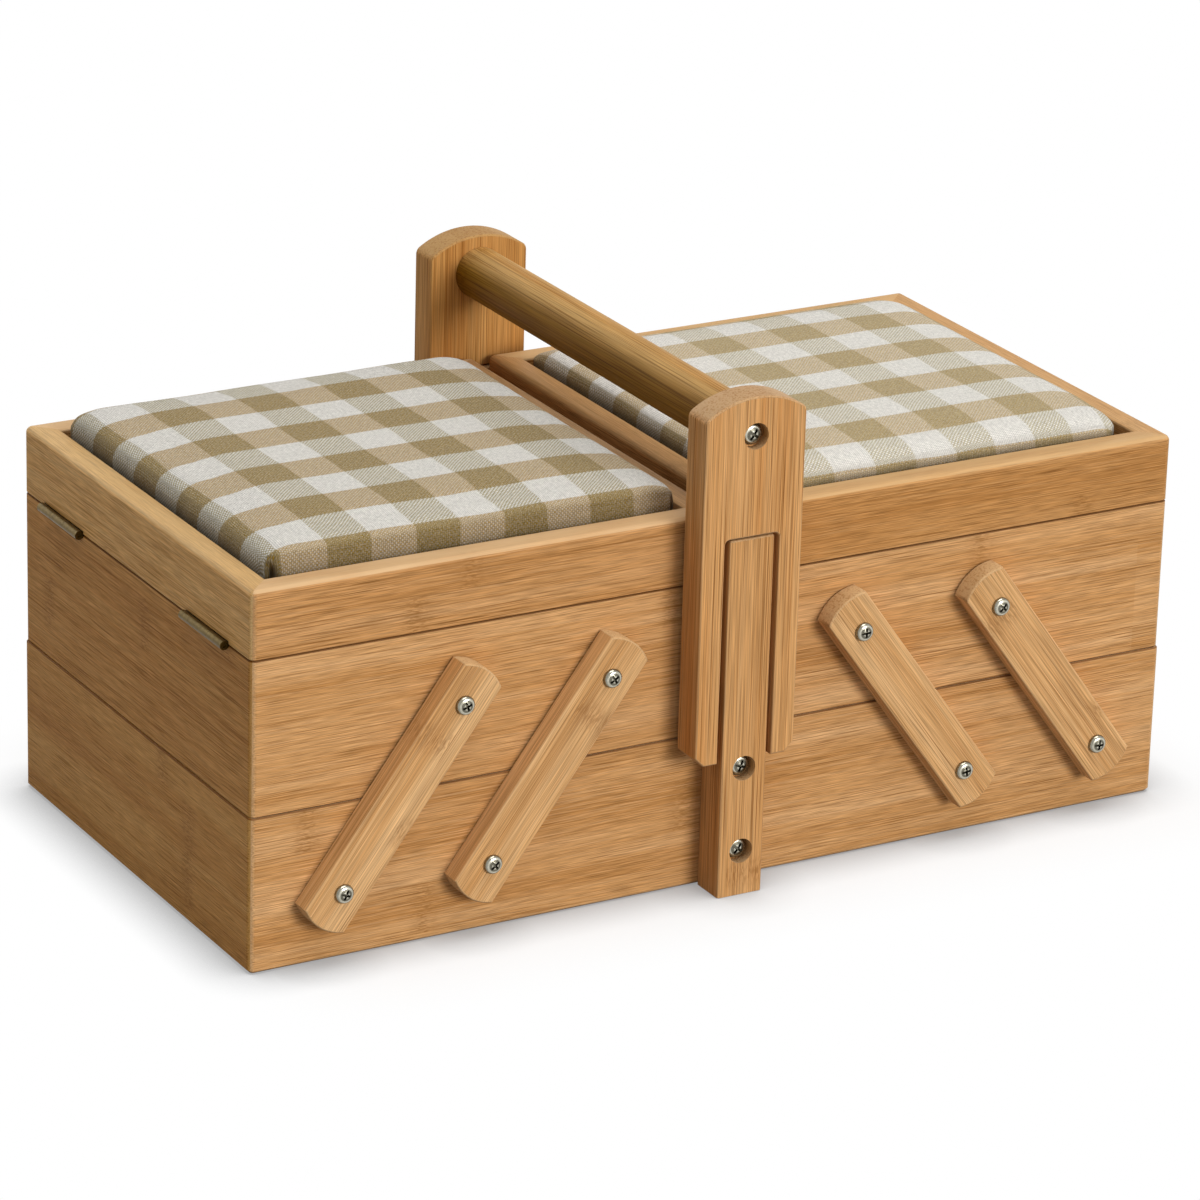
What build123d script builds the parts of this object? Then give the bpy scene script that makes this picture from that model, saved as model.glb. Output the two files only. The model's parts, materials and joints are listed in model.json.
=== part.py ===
"""Cantilever sewing box in bamboo: an open base, two swinging trays, padded lids and a lifting handle.

The frame has its origin under the middle of the base, +X along the box, +Y to the back and +Z up.
All lengths are in millimetres. The box is drawn closed, with the handle down.
"""

import os
from math import atan2, cos, degrees, hypot, radians, sin

from build123d import *

os.makedirs("parts", exist_ok=True)

LEFT, RIGHT = -1, 1
FRONT, BACK = -1, 1
SIDE_NAMES = {LEFT: "left", RIGHT: "right"}
FACE_NAMES = {FRONT: "front", BACK: "back"}

# Boxes
base_length = 400.0
base_width = 200.0
base_height = 62.0
tray_height = 61.5
lid_height = 27.0
wall = 11.0
corner_radius = 2.6
seam_ease = 0.5
rim_ease = 1.0
rim_round = 2.4
foot_ease = 1.4
centre_gap = 7.0
tray_clearance = 0.4

# Floor panels, held in grooves in the walls
panel_thickness = 4.0
groove_depth = 5.0
groove_play = 0.3
base_floor_lift = 5.0
tray_floor_lift = 3.0
lid_panel_lift = 10.0

# Lid pads
pad_play = 0.5
pad_rise = 11.4
pad_crown = 1.4
pad_crown_inset = 40.0
pad_roll = 6.5
pad_corner = 7.0
pad_corner_steps = 3
pad_draw_share = 0.01

# Links and their screws
link_width = 20.0
link_thickness = 8.6
link_corner_reach = 12.6
link_tip_reach = 15.6
link_edge = 0.7
link_standoff = 0.4
lower_pivot_height = 30.0
upper_pivot_rise = 34.0
pivot_end_margin = 34.0
pivot_spacing = 62.0
pivot_offset = 49.0
running_clearance = 0.08
thread_clearance = 0.04
screw_head_radius = 3.8
screw_head_height = 2.4
screw_crown_radius = 2.4
screw_radius = 2.0
screw_bite = 8.5
pilot_spare = 0.5

# Posts and handle
post_width = 19.4
post_thickness = 15.5
post_drop = 5.5
post_screw_foot = 18.0
post_screw_drop = 10.0
post_counterbore_radius = 5.0
post_counterbore_depth = 5.0
stick_edge = 0.7
upright_width = 43.2
upright_overlap = 6.5
upright_standoff = 1.5
shoulder_rise = 8.5
shoulder_radius = 3.5
crest_rise = 15.5
prong_corner = 3.8
slot_play = 2.0
slot_top_play = 0.3
slot_corner = 2.0
bar_radius = 10.5
bar_rise = 34.5
bar_socket_depth = 4.0
handle_counterbore_radius = 5.2
handle_counterbore_depth = 4.5
handle_screw_length = 30.0
sunk_head_radius = 4.4
sunk_head_height = 2.8
sunk_crown_radius = 2.9
handle_travel = 60.0
key_height = 12.0
key_lift = 4.0
key_width = 5.0
key_reach = 3.4
key_bed = 4.0
key_play = 0.15

# Hinges
hinge_length = 35.0
hinge_spread = 63.0
knuckle_radius = 1.8
knuckle_gap = 0.4
hinge_pin_radius = 0.9
hinge_pin_recess = 0.8
hinge_pin_offset = 1.5
leaf_thickness = 1.0
leaf_width = 9.6
leaf_gap = 0.2
hinge_play = 0.4

# Levels and outlines that follow from the sizes above
seam_low = base_height
seam_high = base_height + tray_height
lid_top = seam_high + lid_height
pad_bottom = seam_high + lid_panel_lift + panel_thickness
half_width = base_width / 2
tray_width = base_width - 2 * tray_clearance
tray_half_width = tray_width / 2
tray_outer = base_length / 2 - tray_clearance
tray_inner = centre_gap / 2
tray_length = tray_outer - tray_inner
tray_middle = (tray_outer + tray_inner) / 2
hinge_pin_x = tray_outer + hinge_pin_offset
upper_pivot_height = base_height + upper_pivot_rise
outer_lower_pivot = base_length / 2 - pivot_end_margin
pivot_span = hypot(pivot_offset, upper_pivot_height - lower_pivot_height)
link_slope = degrees(atan2(upper_pivot_height - lower_pivot_height, pivot_offset))
lower_pivots = (outer_lower_pivot, outer_lower_pivot - pivot_spacing)
upper_pivots = tuple(x - pivot_offset for x in lower_pivots)
pilot_radius = screw_radius + thread_clearance
pilot_depth = screw_bite + pilot_spare
post_height = lid_top - post_drop
post_screw_heights = (post_screw_foot, base_height - post_screw_drop)
bar_height = lid_top + bar_rise
upright_bottom = base_height - upright_overlap
upright_shoulder = bar_height + shoulder_rise
upright_top = bar_height + crest_rise
upright_thickness = post_thickness - upright_standoff
upright_inner = half_width + upright_standoff
upright_outer = half_width + post_thickness
slot_width = post_width + 2 * slot_play
key_bottom = upright_bottom + key_lift


def save(part, name):
    """Label one finished piece and write it to its own file."""
    part.label = name
    export_step(part, f"parts/{name}.step")


def face_plane(face, x, z, depth):
    """A plane on the front or back of the box at a depth from the middle, looking outward."""
    return Plane(origin=(x, face * depth, z), x_dir=(1, 0, 0), z_dir=(0, face, 0))


def wall_ring(middle, length, width, bottom, height, floor_lift, ease_below, ease_above, round_above=0):
    """The four walls of one box as a single ring, its edges eased, grooved inside for its panel."""
    inner_length = length - 2 * wall
    inner_width = width - 2 * wall
    with BuildPart() as ring:
        with BuildSketch(Plane.XY.offset(bottom)):
            with Locations((middle, 0)):
                RectangleRounded(length, width, corner_radius)
                Rectangle(inner_length, inner_width, mode=Mode.SUBTRACT)
        extrude(amount=height)
        chamfer(ring.edges().group_by(Axis.Z)[0], ease_below)
        if round_above:
            fillet(ring.faces().sort_by(Axis.Z)[-1].outer_wire().edges(), round_above)
            chamfer(ring.faces().sort_by(Axis.Z)[-1].inner_wires()[0].edges(), ease_above)
        else:
            chamfer(ring.edges().group_by(Axis.Z)[-1], ease_above)
        with BuildSketch(Plane.XY.offset(bottom + floor_lift)):
            with Locations((middle, 0)):
                Rectangle(inner_length + 2 * groove_depth, inner_width + 2 * groove_depth)
        extrude(amount=panel_thickness, mode=Mode.SUBTRACT)
    return ring.part


def mitred_board(ring, corner_a, corner_b, inward):
    """The board of a ring between two outer corners, cut off at 45 degrees at both ends."""
    reach = 2 * wall
    along = (Vector(*corner_b) - Vector(*corner_a)).normalized()
    into = Vector(*inward)
    foot_a = Vector(*corner_a) + (along + into) * reach
    foot_b = Vector(*corner_b) + (into - along) * reach
    low = ring.bounding_box().min.Z
    high = ring.bounding_box().max.Z
    with BuildPart() as board:
        add(ring)
        with BuildSketch(Plane.XY.offset(low - 1)):
            with BuildLine():
                Polyline(corner_a, corner_b, (foot_b.X, foot_b.Y), (foot_a.X, foot_a.Y), close=True)
            make_face()
        extrude(amount=high - low + 2, mode=Mode.INTERSECT)
    return board.part


def cut_boards(ring, middle, length, width):
    """Front, back, left and right boards of one ring, by name."""
    x0, x1 = middle - length / 2, middle + length / 2
    y0, y1 = -width / 2, width / 2
    return {
        "front": mitred_board(ring, (x0, y0), (x1, y0), (0, 1)),
        "back": mitred_board(ring, (x0, y1), (x1, y1), (0, -1)),
        "left": mitred_board(ring, (x0, y0), (x0, y1), (1, 0)),
        "right": mitred_board(ring, (x1, y0), (x1, y1), (-1, 0)),
    }


def floor_panel(middle, length, width, level):
    """A thin panel that fills the groove of one ring with a little play at its edges."""
    reach = groove_depth - groove_play
    with BuildPart() as panel:
        with BuildSketch(Plane.XY.offset(level)):
            with Locations((middle, 0)):
                Rectangle(length - 2 * wall + 2 * reach, width - 2 * wall + 2 * reach)
        extrude(amount=panel_thickness)
    return panel.part


def drilled(board, planes, radius, depth):
    """A board with one blind hole on each plane."""
    with BuildPart() as holed:
        add(board)
        with Locations(*planes):
            Hole(radius, depth)
    return holed.part


def hinge_mortised(board, side, leaf_level, leaf_room):
    """An end board with the two hinge beds cut into one edge, rounded clear of the knuckles."""
    bed_length = hinge_length + 2 * hinge_play
    bed_reach = leaf_width + hinge_play
    with BuildPart() as mortised:
        add(board)
        for y in (-hinge_spread, hinge_spread):
            with Locations((side * (hinge_pin_x - bed_reach / 2), y, leaf_level)):
                Box(bed_reach, bed_length, leaf_room, mode=Mode.SUBTRACT)
            with Locations(Location((side * hinge_pin_x, y, seam_high), (90, 0, 0))):
                Cylinder(knuckle_radius + hinge_play, bed_length, mode=Mode.SUBTRACT)
    return mortised.part


def pan_screw(length, head_radius, head_height, crown_radius):
    """A pan-head screw along -Z, its head's underside at the origin and its threaded shank eight-sided."""
    with BuildPart() as screw:
        with BuildSketch(Plane.XZ):
            with BuildLine():
                Polyline(
                    (0, head_height),
                    (0, 0),
                    (head_radius, 0),
                    (crown_radius, head_height),
                    close=True,
                )
            make_face()
        revolve(axis=Axis.Z)
        with BuildSketch():
            RegularPolygon(screw_radius, 8)
        extrude(amount=-length)
    return screw.part


def set_of(piece, planes):
    """Copies of one small piece, one on each plane."""
    with BuildPart() as group:
        with Locations(*planes):
            add(piece)
    return group.part


def pivot_planes(side_list, xs, z, depth):
    """Outward planes at the pivots on both faces of the box."""
    return [face_plane(face, side * x, z, depth) for side in side_list for x in xs for face in (FRONT, BACK)]


def link(side, face, lower_x):
    """One cantilever link: a flat strip with bowed ends and a hole at each pivot."""
    lean = radians(link_slope)
    plane = Plane(
        origin=(side * lower_x, face * (half_width + link_standoff), lower_pivot_height),
        x_dir=(-side * cos(lean), 0, sin(lean)),
        z_dir=(0, face, 0),
    )
    half = link_width / 2
    with BuildPart() as strip:
        with BuildSketch(plane):
            with BuildLine():
                upper = Line((-link_corner_reach, half), (pivot_span + link_corner_reach, half))
                lower = Line((pivot_span + link_corner_reach, -half), (-link_corner_reach, -half))
                ThreePointArc(upper @ 1, (pivot_span + link_tip_reach, 0), lower @ 0)
                ThreePointArc(lower @ 1, (-link_tip_reach, 0), upper @ 0)
            make_face()
        extrude(amount=link_thickness)
        outside = strip.faces().sort_by(Axis.Y)[-1 if face == BACK else 0]
        chamfer(outside.edges(), link_edge)
        with BuildSketch(plane):
            with Locations((0, 0), (pivot_span, 0)):
                Circle(screw_radius + running_clearance)
        extrude(amount=link_thickness, mode=Mode.SUBTRACT)
    return strip.part


def post(face):
    """One post: screwed flat to the base, with a stopped groove down each edge for the handle's keys."""
    groove_height = key_height + handle_travel + 2 * key_play
    groove_middle = key_bottom + (key_height + handle_travel) / 2
    key_depth = upright_inner + upright_thickness / 2
    with BuildPart() as stick:
        with Locations((0, face * (half_width + post_thickness / 2), post_height / 2)):
            Box(post_width, post_thickness, post_height)
        chamfer(stick.edges().filter_by(Axis.Z), stick_edge)
        chamfer(stick.faces().sort_by(Axis.Z)[-1].edges(), stick_edge)
        for edge in (LEFT, RIGHT):
            with Locations((edge * post_width / 2, face * key_depth, groove_middle)):
                Box(2 * key_reach, key_width + 2 * key_play, groove_height, mode=Mode.SUBTRACT)
        with Locations(*[face_plane(face, 0, z, half_width + post_thickness) for z in post_screw_heights]):
            CounterBoreHole(
                screw_radius + thread_clearance,
                post_counterbore_radius,
                post_counterbore_depth,
                depth=post_thickness,
            )
    return stick.part


def upright(face):
    """One fork of the handle: arched on top, slotted to straddle its post."""
    half = upright_width / 2
    slot = slot_width / 2
    slot_top = post_height + slot_top_play
    key_depth = upright_inner + upright_thickness / 2
    with BuildPart() as fork:
        with BuildSketch(face_plane(face, 0, 0, upright_inner)):
            with BuildLine():
                Polyline(
                    (half, -face * upright_shoulder),
                    (half, -face * upright_bottom),
                    (-half, -face * upright_bottom),
                    (-half, -face * upright_shoulder),
                )
                ThreePointArc(
                    (-half, -face * upright_shoulder),
                    (0, -face * upright_top),
                    (half, -face * upright_shoulder),
                )
            make_face()
            with Locations((0, -face * (upright_bottom + slot_top) / 2)):
                Rectangle(slot_width, slot_top - upright_bottom, mode=Mode.SUBTRACT)
        extrude(amount=upright_thickness)
        long_edges = fork.edges().filter_by(Axis.Y)
        fillet(long_edges.filter_by_position(Axis.Z, slot_top - 1, slot_top + 1), slot_corner)
        shoulders = long_edges.filter_by_position(Axis.Z, upright_shoulder - 1, upright_shoulder + 1)
        fillet(shoulders, shoulder_radius)
        feet = long_edges.filter_by_position(Axis.Z, upright_bottom - 1, upright_bottom + 1)
        chamfer([foot for foot in feet if abs(foot.center().X) > slot + 1], prong_corner)
        flats = fork.faces().sort_by(Axis.Y)
        chamfer(flats[0].edges() + flats[-1].edges(), stick_edge)
        with Locations(face_plane(face, 0, bar_height, upright_outer)):
            CounterBoreHole(
                screw_radius + thread_clearance,
                handle_counterbore_radius,
                handle_counterbore_depth,
                depth=upright_thickness,
            )
        with Locations(face_plane(-face, 0, bar_height, -upright_inner)):
            Hole(bar_radius + thread_clearance, bar_socket_depth)
        for edge in (LEFT, RIGHT):
            with Locations((edge * (slot + key_bed / 2), face * key_depth, key_bottom + key_height / 2)):
                Box(key_bed, key_width, key_height, mode=Mode.SUBTRACT)
    return fork.part


def guide_key_set():
    """Four keys set in the prongs of the uprights, running in the grooves of the posts."""
    key_depth = upright_inner + upright_thickness / 2
    key_length = key_bed + slot_play + key_reach - key_play
    key_middle = slot_width / 2 + key_bed - key_length / 2
    with BuildPart() as keys:
        for face in (FRONT, BACK):
            for edge in (LEFT, RIGHT):
                with Locations((edge * key_middle, face * key_depth, key_bottom + key_height / 2)):
                    Box(key_length, key_width, key_height)
    return keys.part


def grip_bar():
    """The round bar between the uprights, drilled at both ends for its screws."""
    half_length = upright_inner + bar_socket_depth
    with BuildPart() as bar:
        with Locations(Location((0, 0, bar_height), (90, 0, 0))):
            Cylinder(bar_radius, 2 * half_length)
        with Locations(*[face_plane(face, 0, bar_height, half_length) for face in (FRONT, BACK)]):
            Hole(screw_radius + thread_clearance, handle_screw_length)
    return bar.part


def pad_outline(plane, a, b):
    """The plan of a pad at one level: softly cornered, its sides drawn in between the corners."""
    c = pad_corner
    a_drawn = a - pad_draw_share * (b - c)
    b_drawn = b - pad_draw_share * (a - c)
    side_middles = ((a_drawn, 0), (0, b_drawn), (-a_drawn, 0), (0, -b_drawn))
    corner_signs = ((1, 1), (-1, 1), (-1, -1), (1, -1))
    points = []
    for quarter in range(4):
        points.append(side_middles[quarter])
        for step in range(pad_corner_steps + 1):
            turn = radians(90 * (quarter + step / pad_corner_steps))
            corner_x = corner_signs[quarter][0] * (a - c)
            corner_y = corner_signs[quarter][1] * (b - c)
            points.append((corner_x + c * cos(turn), corner_y + c * sin(turn)))
    with BuildSketch(plane) as outline:
        with BuildLine():
            Polyline(*points, close=True)
        make_face()
    return outline.sketch


def lid_pad(side):
    """A padded top: drawn in a little along its sides, rolled over at the edges and crowned."""
    half_length = tray_length / 2 - wall - pad_play
    half_depth = tray_half_width - wall - pad_play
    shoulder = lid_top + pad_rise - pad_crown
    steps = [(pad_bottom, 0.0)]
    for turn in (0, 45, 90):
        rise = pad_roll * sin(radians(turn))
        inset = pad_roll * (1 - cos(radians(turn)))
        steps.append((shoulder - pad_roll + rise, inset))
    steps.append((shoulder + pad_crown, pad_crown_inset))
    outlines = [
        pad_outline(Plane(origin=(side * tray_middle, 0, level)), half_length - inset, half_depth - inset)
        for level, inset in steps
    ]
    with BuildPart() as pad:
        loft(outlines, ruled=True)
    return pad.part


def hinge_leaf(side, up):
    """Two butt-hinge leaves: plates in the edge beds and their knuckles. The lower leaves carry the pins."""
    third = hinge_length / 3
    plate_level = seam_high + up * (leaf_gap + leaf_thickness / 2)
    recess_middle = (hinge_length - hinge_pin_recess) / 2
    own = (0,) if up > 0 else (-1, 1)
    other = (-1, 1) if up > 0 else (0,)
    with BuildPart() as leaves:
        for y in (-hinge_spread, hinge_spread):
            with Locations((side * (hinge_pin_x - leaf_width / 2), y, plate_level)):
                Box(leaf_width, hinge_length, leaf_thickness)
        for y in (-hinge_spread, hinge_spread):
            for slot in other:
                with Locations(Location((side * hinge_pin_x, y + slot * third, seam_high), (90, 0, 0))):
                    Cylinder(knuckle_radius + knuckle_gap, third + 2 * knuckle_gap, mode=Mode.SUBTRACT)
            for slot in own:
                with Locations(Location((side * hinge_pin_x, y + slot * third, seam_high), (90, 0, 0))):
                    Cylinder(knuckle_radius, third)
            with Locations(Location((side * hinge_pin_x, y, seam_high), (90, 0, 0))):
                if up > 0:
                    Cylinder(hinge_pin_radius + running_clearance, hinge_length, mode=Mode.SUBTRACT)
                else:
                    Cylinder(hinge_pin_radius, hinge_length)
            if up < 0:
                for tip in (-recess_middle, recess_middle):
                    with Locations(Location((side * hinge_pin_x, y + tip, seam_high), (90, 0, 0))):
                        Cylinder(hinge_pin_radius, hinge_pin_recess, mode=Mode.SUBTRACT)
    return leaves.part


# Base box
base_ring = wall_ring(0, base_length, base_width, 0, base_height, base_floor_lift, foot_ease, seam_ease)
base_boards = cut_boards(base_ring, 0, base_length, base_width)
for face in (FRONT, BACK):
    pivot_xs = [side * x for side in (LEFT, RIGHT) for x in lower_pivots]
    holes = [face_plane(face, x, lower_pivot_height, half_width) for x in pivot_xs]
    holes += [face_plane(face, 0, z, half_width) for z in post_screw_heights]
    board = drilled(base_boards[FACE_NAMES[face]], holes, pilot_radius, pilot_depth)
    save(board, f"base_{FACE_NAMES[face]}_board")
save(base_boards["left"], "base_left_end")
save(base_boards["right"], "base_right_end")
save(floor_panel(0, base_length, base_width, base_floor_lift), "base_floor_panel")

# Trays
for side in (LEFT, RIGHT):
    tray = f"{SIDE_NAMES[side]}_tray"
    middle = side * tray_middle
    tray_ring = wall_ring(
        middle, tray_length, tray_width, seam_low, tray_height, tray_floor_lift, seam_ease, seam_ease
    )
    tray_boards = cut_boards(tray_ring, middle, tray_length, tray_width)
    for face in (FRONT, BACK):
        holes = [face_plane(face, side * x, upper_pivot_height, tray_half_width) for x in upper_pivots]
        board = drilled(tray_boards[FACE_NAMES[face]], holes, pilot_radius, pilot_depth)
        save(board, f"{tray}_{FACE_NAMES[face]}_board")
    outer_end = hinge_mortised(
        tray_boards[SIDE_NAMES[side]],
        side,
        seam_high - (leaf_gap + leaf_thickness) / 2,
        leaf_gap + leaf_thickness,
    )
    save(outer_end, f"{tray}_outer_end")
    save(tray_boards[SIDE_NAMES[-side]], f"{tray}_inner_end")
    save(floor_panel(middle, tray_length, tray_width, seam_low + tray_floor_lift), f"{tray}_floor_panel")

# Lids
for side in (LEFT, RIGHT):
    lid = f"{SIDE_NAMES[side]}_lid"
    middle = side * tray_middle
    lid_ring = wall_ring(
        middle, tray_length, tray_width, seam_high, lid_height, lid_panel_lift, seam_ease, rim_ease, rim_round
    )
    lid_rails = cut_boards(lid_ring, middle, tray_length, tray_width)
    outer_rail = hinge_mortised(
        lid_rails[SIDE_NAMES[side]],
        side,
        seam_high + (leaf_gap + leaf_thickness) / 2,
        leaf_gap + leaf_thickness,
    )
    save(lid_rails["front"], f"{lid}_front_rail")
    save(lid_rails["back"], f"{lid}_back_rail")
    save(outer_rail, f"{lid}_outer_rail")
    save(lid_rails[SIDE_NAMES[-side]], f"{lid}_inner_rail")
    save(floor_panel(middle, tray_length, tray_width, seam_high + lid_panel_lift), f"{lid}_panel")
    save(lid_pad(side), f"{lid}_pad")

# Hinges
for side in (LEFT, RIGHT):
    hinge = f"{SIDE_NAMES[side]}_hinge"
    save(hinge_leaf(side, -1), f"{hinge}_lower_leaves")
    save(hinge_leaf(side, 1), f"{hinge}_upper_leaves")

# Links
for side in (LEFT, RIGHT):
    for face in (FRONT, BACK):
        for place, lower_x in zip(("outer", "inner"), lower_pivots):
            save(link(side, face, lower_x), f"{SIDE_NAMES[side]}_{FACE_NAMES[face]}_{place}_link")

# Pivot screws
link_outside = half_width + link_standoff + link_thickness
pivot_head = (screw_head_radius, screw_head_height, screw_crown_radius)
base_screw = pan_screw(link_outside - half_width + screw_bite, *pivot_head)
base_planes = pivot_planes((LEFT, RIGHT), lower_pivots, lower_pivot_height, link_outside + running_clearance)
save(set_of(base_screw, base_planes), "base_link_screws")
for side in (LEFT, RIGHT):
    tray_screw = pan_screw(link_outside - tray_half_width + screw_bite, *pivot_head)
    tray_planes = pivot_planes((side,), upper_pivots, upper_pivot_height, link_outside + running_clearance)
    save(set_of(tray_screw, tray_planes), f"{SIDE_NAMES[side]}_tray_link_screws")

# Posts
save(post(FRONT), "front_post")
save(post(BACK), "back_post")
post_grip = post_thickness - post_counterbore_depth
sunk_head = (sunk_head_radius, sunk_head_height, sunk_crown_radius)
post_screw = pan_screw(post_grip + screw_bite, *sunk_head)
post_planes = [
    face_plane(face, 0, z, half_width + post_grip) for face in (FRONT, BACK) for z in post_screw_heights
]
save(set_of(post_screw, post_planes), "post_screws")

# Handle
save(upright(FRONT), "front_upright")
save(upright(BACK), "back_upright")
save(grip_bar(), "grip_bar")
save(guide_key_set(), "guide_keys")
handle_seat = upright_outer - handle_counterbore_depth
handle_screw = pan_screw(handle_screw_length, *sunk_head)
handle_planes = [face_plane(face, 0, bar_height, handle_seat) for face in (FRONT, BACK)]
save(set_of(handle_screw, handle_planes), "handle_screws")
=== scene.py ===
"""Dresses the cantilever sewing box: lacquered bamboo, gingham lid pads, zinc screws and brass hinges."""

import json
import logging
from dataclasses import dataclass, field
from enum import Enum
from math import asin, atan2, copysign, cos, exp, pi, radians, sin
from typing import Any, Optional

import bmesh
import bpy
from mathutils import Matrix, Vector, kdtree, noise

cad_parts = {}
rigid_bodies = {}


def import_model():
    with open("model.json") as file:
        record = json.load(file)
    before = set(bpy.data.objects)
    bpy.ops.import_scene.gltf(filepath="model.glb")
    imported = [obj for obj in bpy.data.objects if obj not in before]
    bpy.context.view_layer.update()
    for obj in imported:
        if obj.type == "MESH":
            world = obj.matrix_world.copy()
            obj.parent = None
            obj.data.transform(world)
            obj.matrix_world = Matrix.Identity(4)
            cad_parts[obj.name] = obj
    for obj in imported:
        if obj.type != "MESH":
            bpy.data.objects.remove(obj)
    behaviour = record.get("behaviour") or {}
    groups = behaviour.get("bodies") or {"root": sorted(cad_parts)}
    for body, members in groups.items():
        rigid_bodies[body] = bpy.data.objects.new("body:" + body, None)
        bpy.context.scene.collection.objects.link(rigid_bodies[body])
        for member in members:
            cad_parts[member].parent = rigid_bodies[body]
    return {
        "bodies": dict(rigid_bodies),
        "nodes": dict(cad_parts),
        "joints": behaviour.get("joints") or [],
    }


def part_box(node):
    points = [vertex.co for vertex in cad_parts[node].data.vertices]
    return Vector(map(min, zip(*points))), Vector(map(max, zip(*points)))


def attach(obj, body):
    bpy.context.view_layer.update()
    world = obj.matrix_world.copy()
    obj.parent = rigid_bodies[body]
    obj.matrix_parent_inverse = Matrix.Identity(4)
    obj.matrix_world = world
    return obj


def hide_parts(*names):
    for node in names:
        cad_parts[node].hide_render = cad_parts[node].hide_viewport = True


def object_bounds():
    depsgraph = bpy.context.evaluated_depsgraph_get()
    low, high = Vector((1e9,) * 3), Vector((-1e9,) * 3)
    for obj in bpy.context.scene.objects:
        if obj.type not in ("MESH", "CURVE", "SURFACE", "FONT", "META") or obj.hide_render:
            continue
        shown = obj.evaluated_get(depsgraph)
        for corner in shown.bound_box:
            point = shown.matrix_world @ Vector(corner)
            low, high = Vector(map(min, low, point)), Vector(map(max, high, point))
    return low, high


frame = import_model()
cad_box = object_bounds()

log = logging.getLogger("sewing_box")

MM = 0.001
# Most values of Blender's noise lie between these
NOISE_LOW = 0.3
NOISE_HIGH = 0.7
# Points of a CAD node closer than this are merged, and faces that meet flatter than this are joined
MERGE_MM = 0.002
FLAT_ANGLE = radians(0.4)
# Edges that turn more than this shade sharp, on the CAD's pieces and on screws
CAD_SHARP_ANGLE = radians(58)
SCREW_SHARP_ANGLE = radians(35)
# Large faces rule the shading of the edges between them
FACE_WEIGHT = 100
# Cosines above which a face looks straight, mostly and slightly along an axis
STRAIGHT = 0.97
MOSTLY = 0.5
SLIGHTLY = 0.2
# One hinge; a node holds two of them, so its box doesn't give this
HINGE_LENGTH_MM = 35.0
# Lacquer and cotton bend light about alike
COMMON_IOR = 1.5


class Side(Enum):
    """The two halves of the box, by the sign of X."""

    LEFT = -1
    RIGHT = 1

    @property
    def word(self) -> str:
        """The name this half has in the frame."""
        return self.name.lower()


class Face(Enum):
    """The two long faces of the box, by the sign of Y."""

    FRONT = -1
    BACK = 1

    @property
    def word(self) -> str:
        """The name this face has in the frame."""
        return self.name.lower()


class Grain(Enum):
    """The way the fibres of a board run."""

    LENGTHWAYS = (1.0, 0.0, 0.0)
    CROSSWAYS = (0.0, 1.0, 0.0)
    UPRIGHT = (0.0, 0.0, 1.0)

    @property
    def line(self) -> Vector:
        """The fibre direction as a vector."""
        return Vector(self.value)


class Layer(Enum):
    """The layers of the bamboo's pattern: how far each is moved from the others, and its octaves."""

    DRIFT = (0.0, 2.0)
    DARK_FIBRE = (3.0, 1.6)
    PALE_FIBRE = (11.0, 1.5)
    HAIR = (23.0, 1.0)
    PATCH = (41.0, 1.0)
    SPECK = (53.0, 2.0)
    END_DOT = (61.0, 1.0)
    RUB = (71.0, 2.0)

    @property
    def shift(self) -> float:
        """How far the layer is moved."""
        return self.value[0]

    @property
    def octaves(self) -> float:
        """How many sizes of noise it holds."""
        return self.value[1]


def linear(code: str) -> tuple[float, float, float, float]:
    """Turns an sRGB hex colour into linear RGBA.

    Args:
        code: Six hex digits after a hash sign.

    Returns:
        Linear red, green, blue and an alpha of one.
    """
    channels = [int(code[i : i + 2], 16) / 255 for i in (1, 3, 5)]
    red, green, blue = [c / 12.92 if c <= 0.04045 else ((c + 0.055) / 1.055) ** 2.4 for c in channels]
    return (red, green, blue, 1.0)


def add_node(tree: bpy.types.NodeTree, kind: str, inputs: Optional[dict] = None, out: Any = 0,
             **settings: Any) -> Optional[bpy.types.NodeSocket]:
    """Adds one node, sets its properties, and fills or links its inputs.

    Args:
        tree: The node tree to add to.
        kind: The node's type name.
        inputs: Values or output sockets, by input name or index.
        out: Which output to give back.
        settings: Properties of the node itself.

    Returns:
        The chosen output, or None where the node has no outputs.
    """
    node = tree.nodes.new(kind)
    for name, value in settings.items():
        setattr(node, name, value)
    for key, value in (inputs or {}).items():
        if isinstance(value, bpy.types.NodeSocket):
            tree.links.new(value, node.inputs[key])
        else:
            node.inputs[key].default_value = value
    return node.outputs[out] if node.outputs else None


def new_material(name: str) -> tuple[bpy.types.Material, bpy.types.NodeTree]:
    """Starts an empty node material.

    Args:
        name: The real material's name.

    Returns:
        The material and its node tree.
    """
    material = bpy.data.materials.new(name)
    material.use_nodes = True
    material.node_tree.nodes.clear()
    return material, material.node_tree


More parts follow.
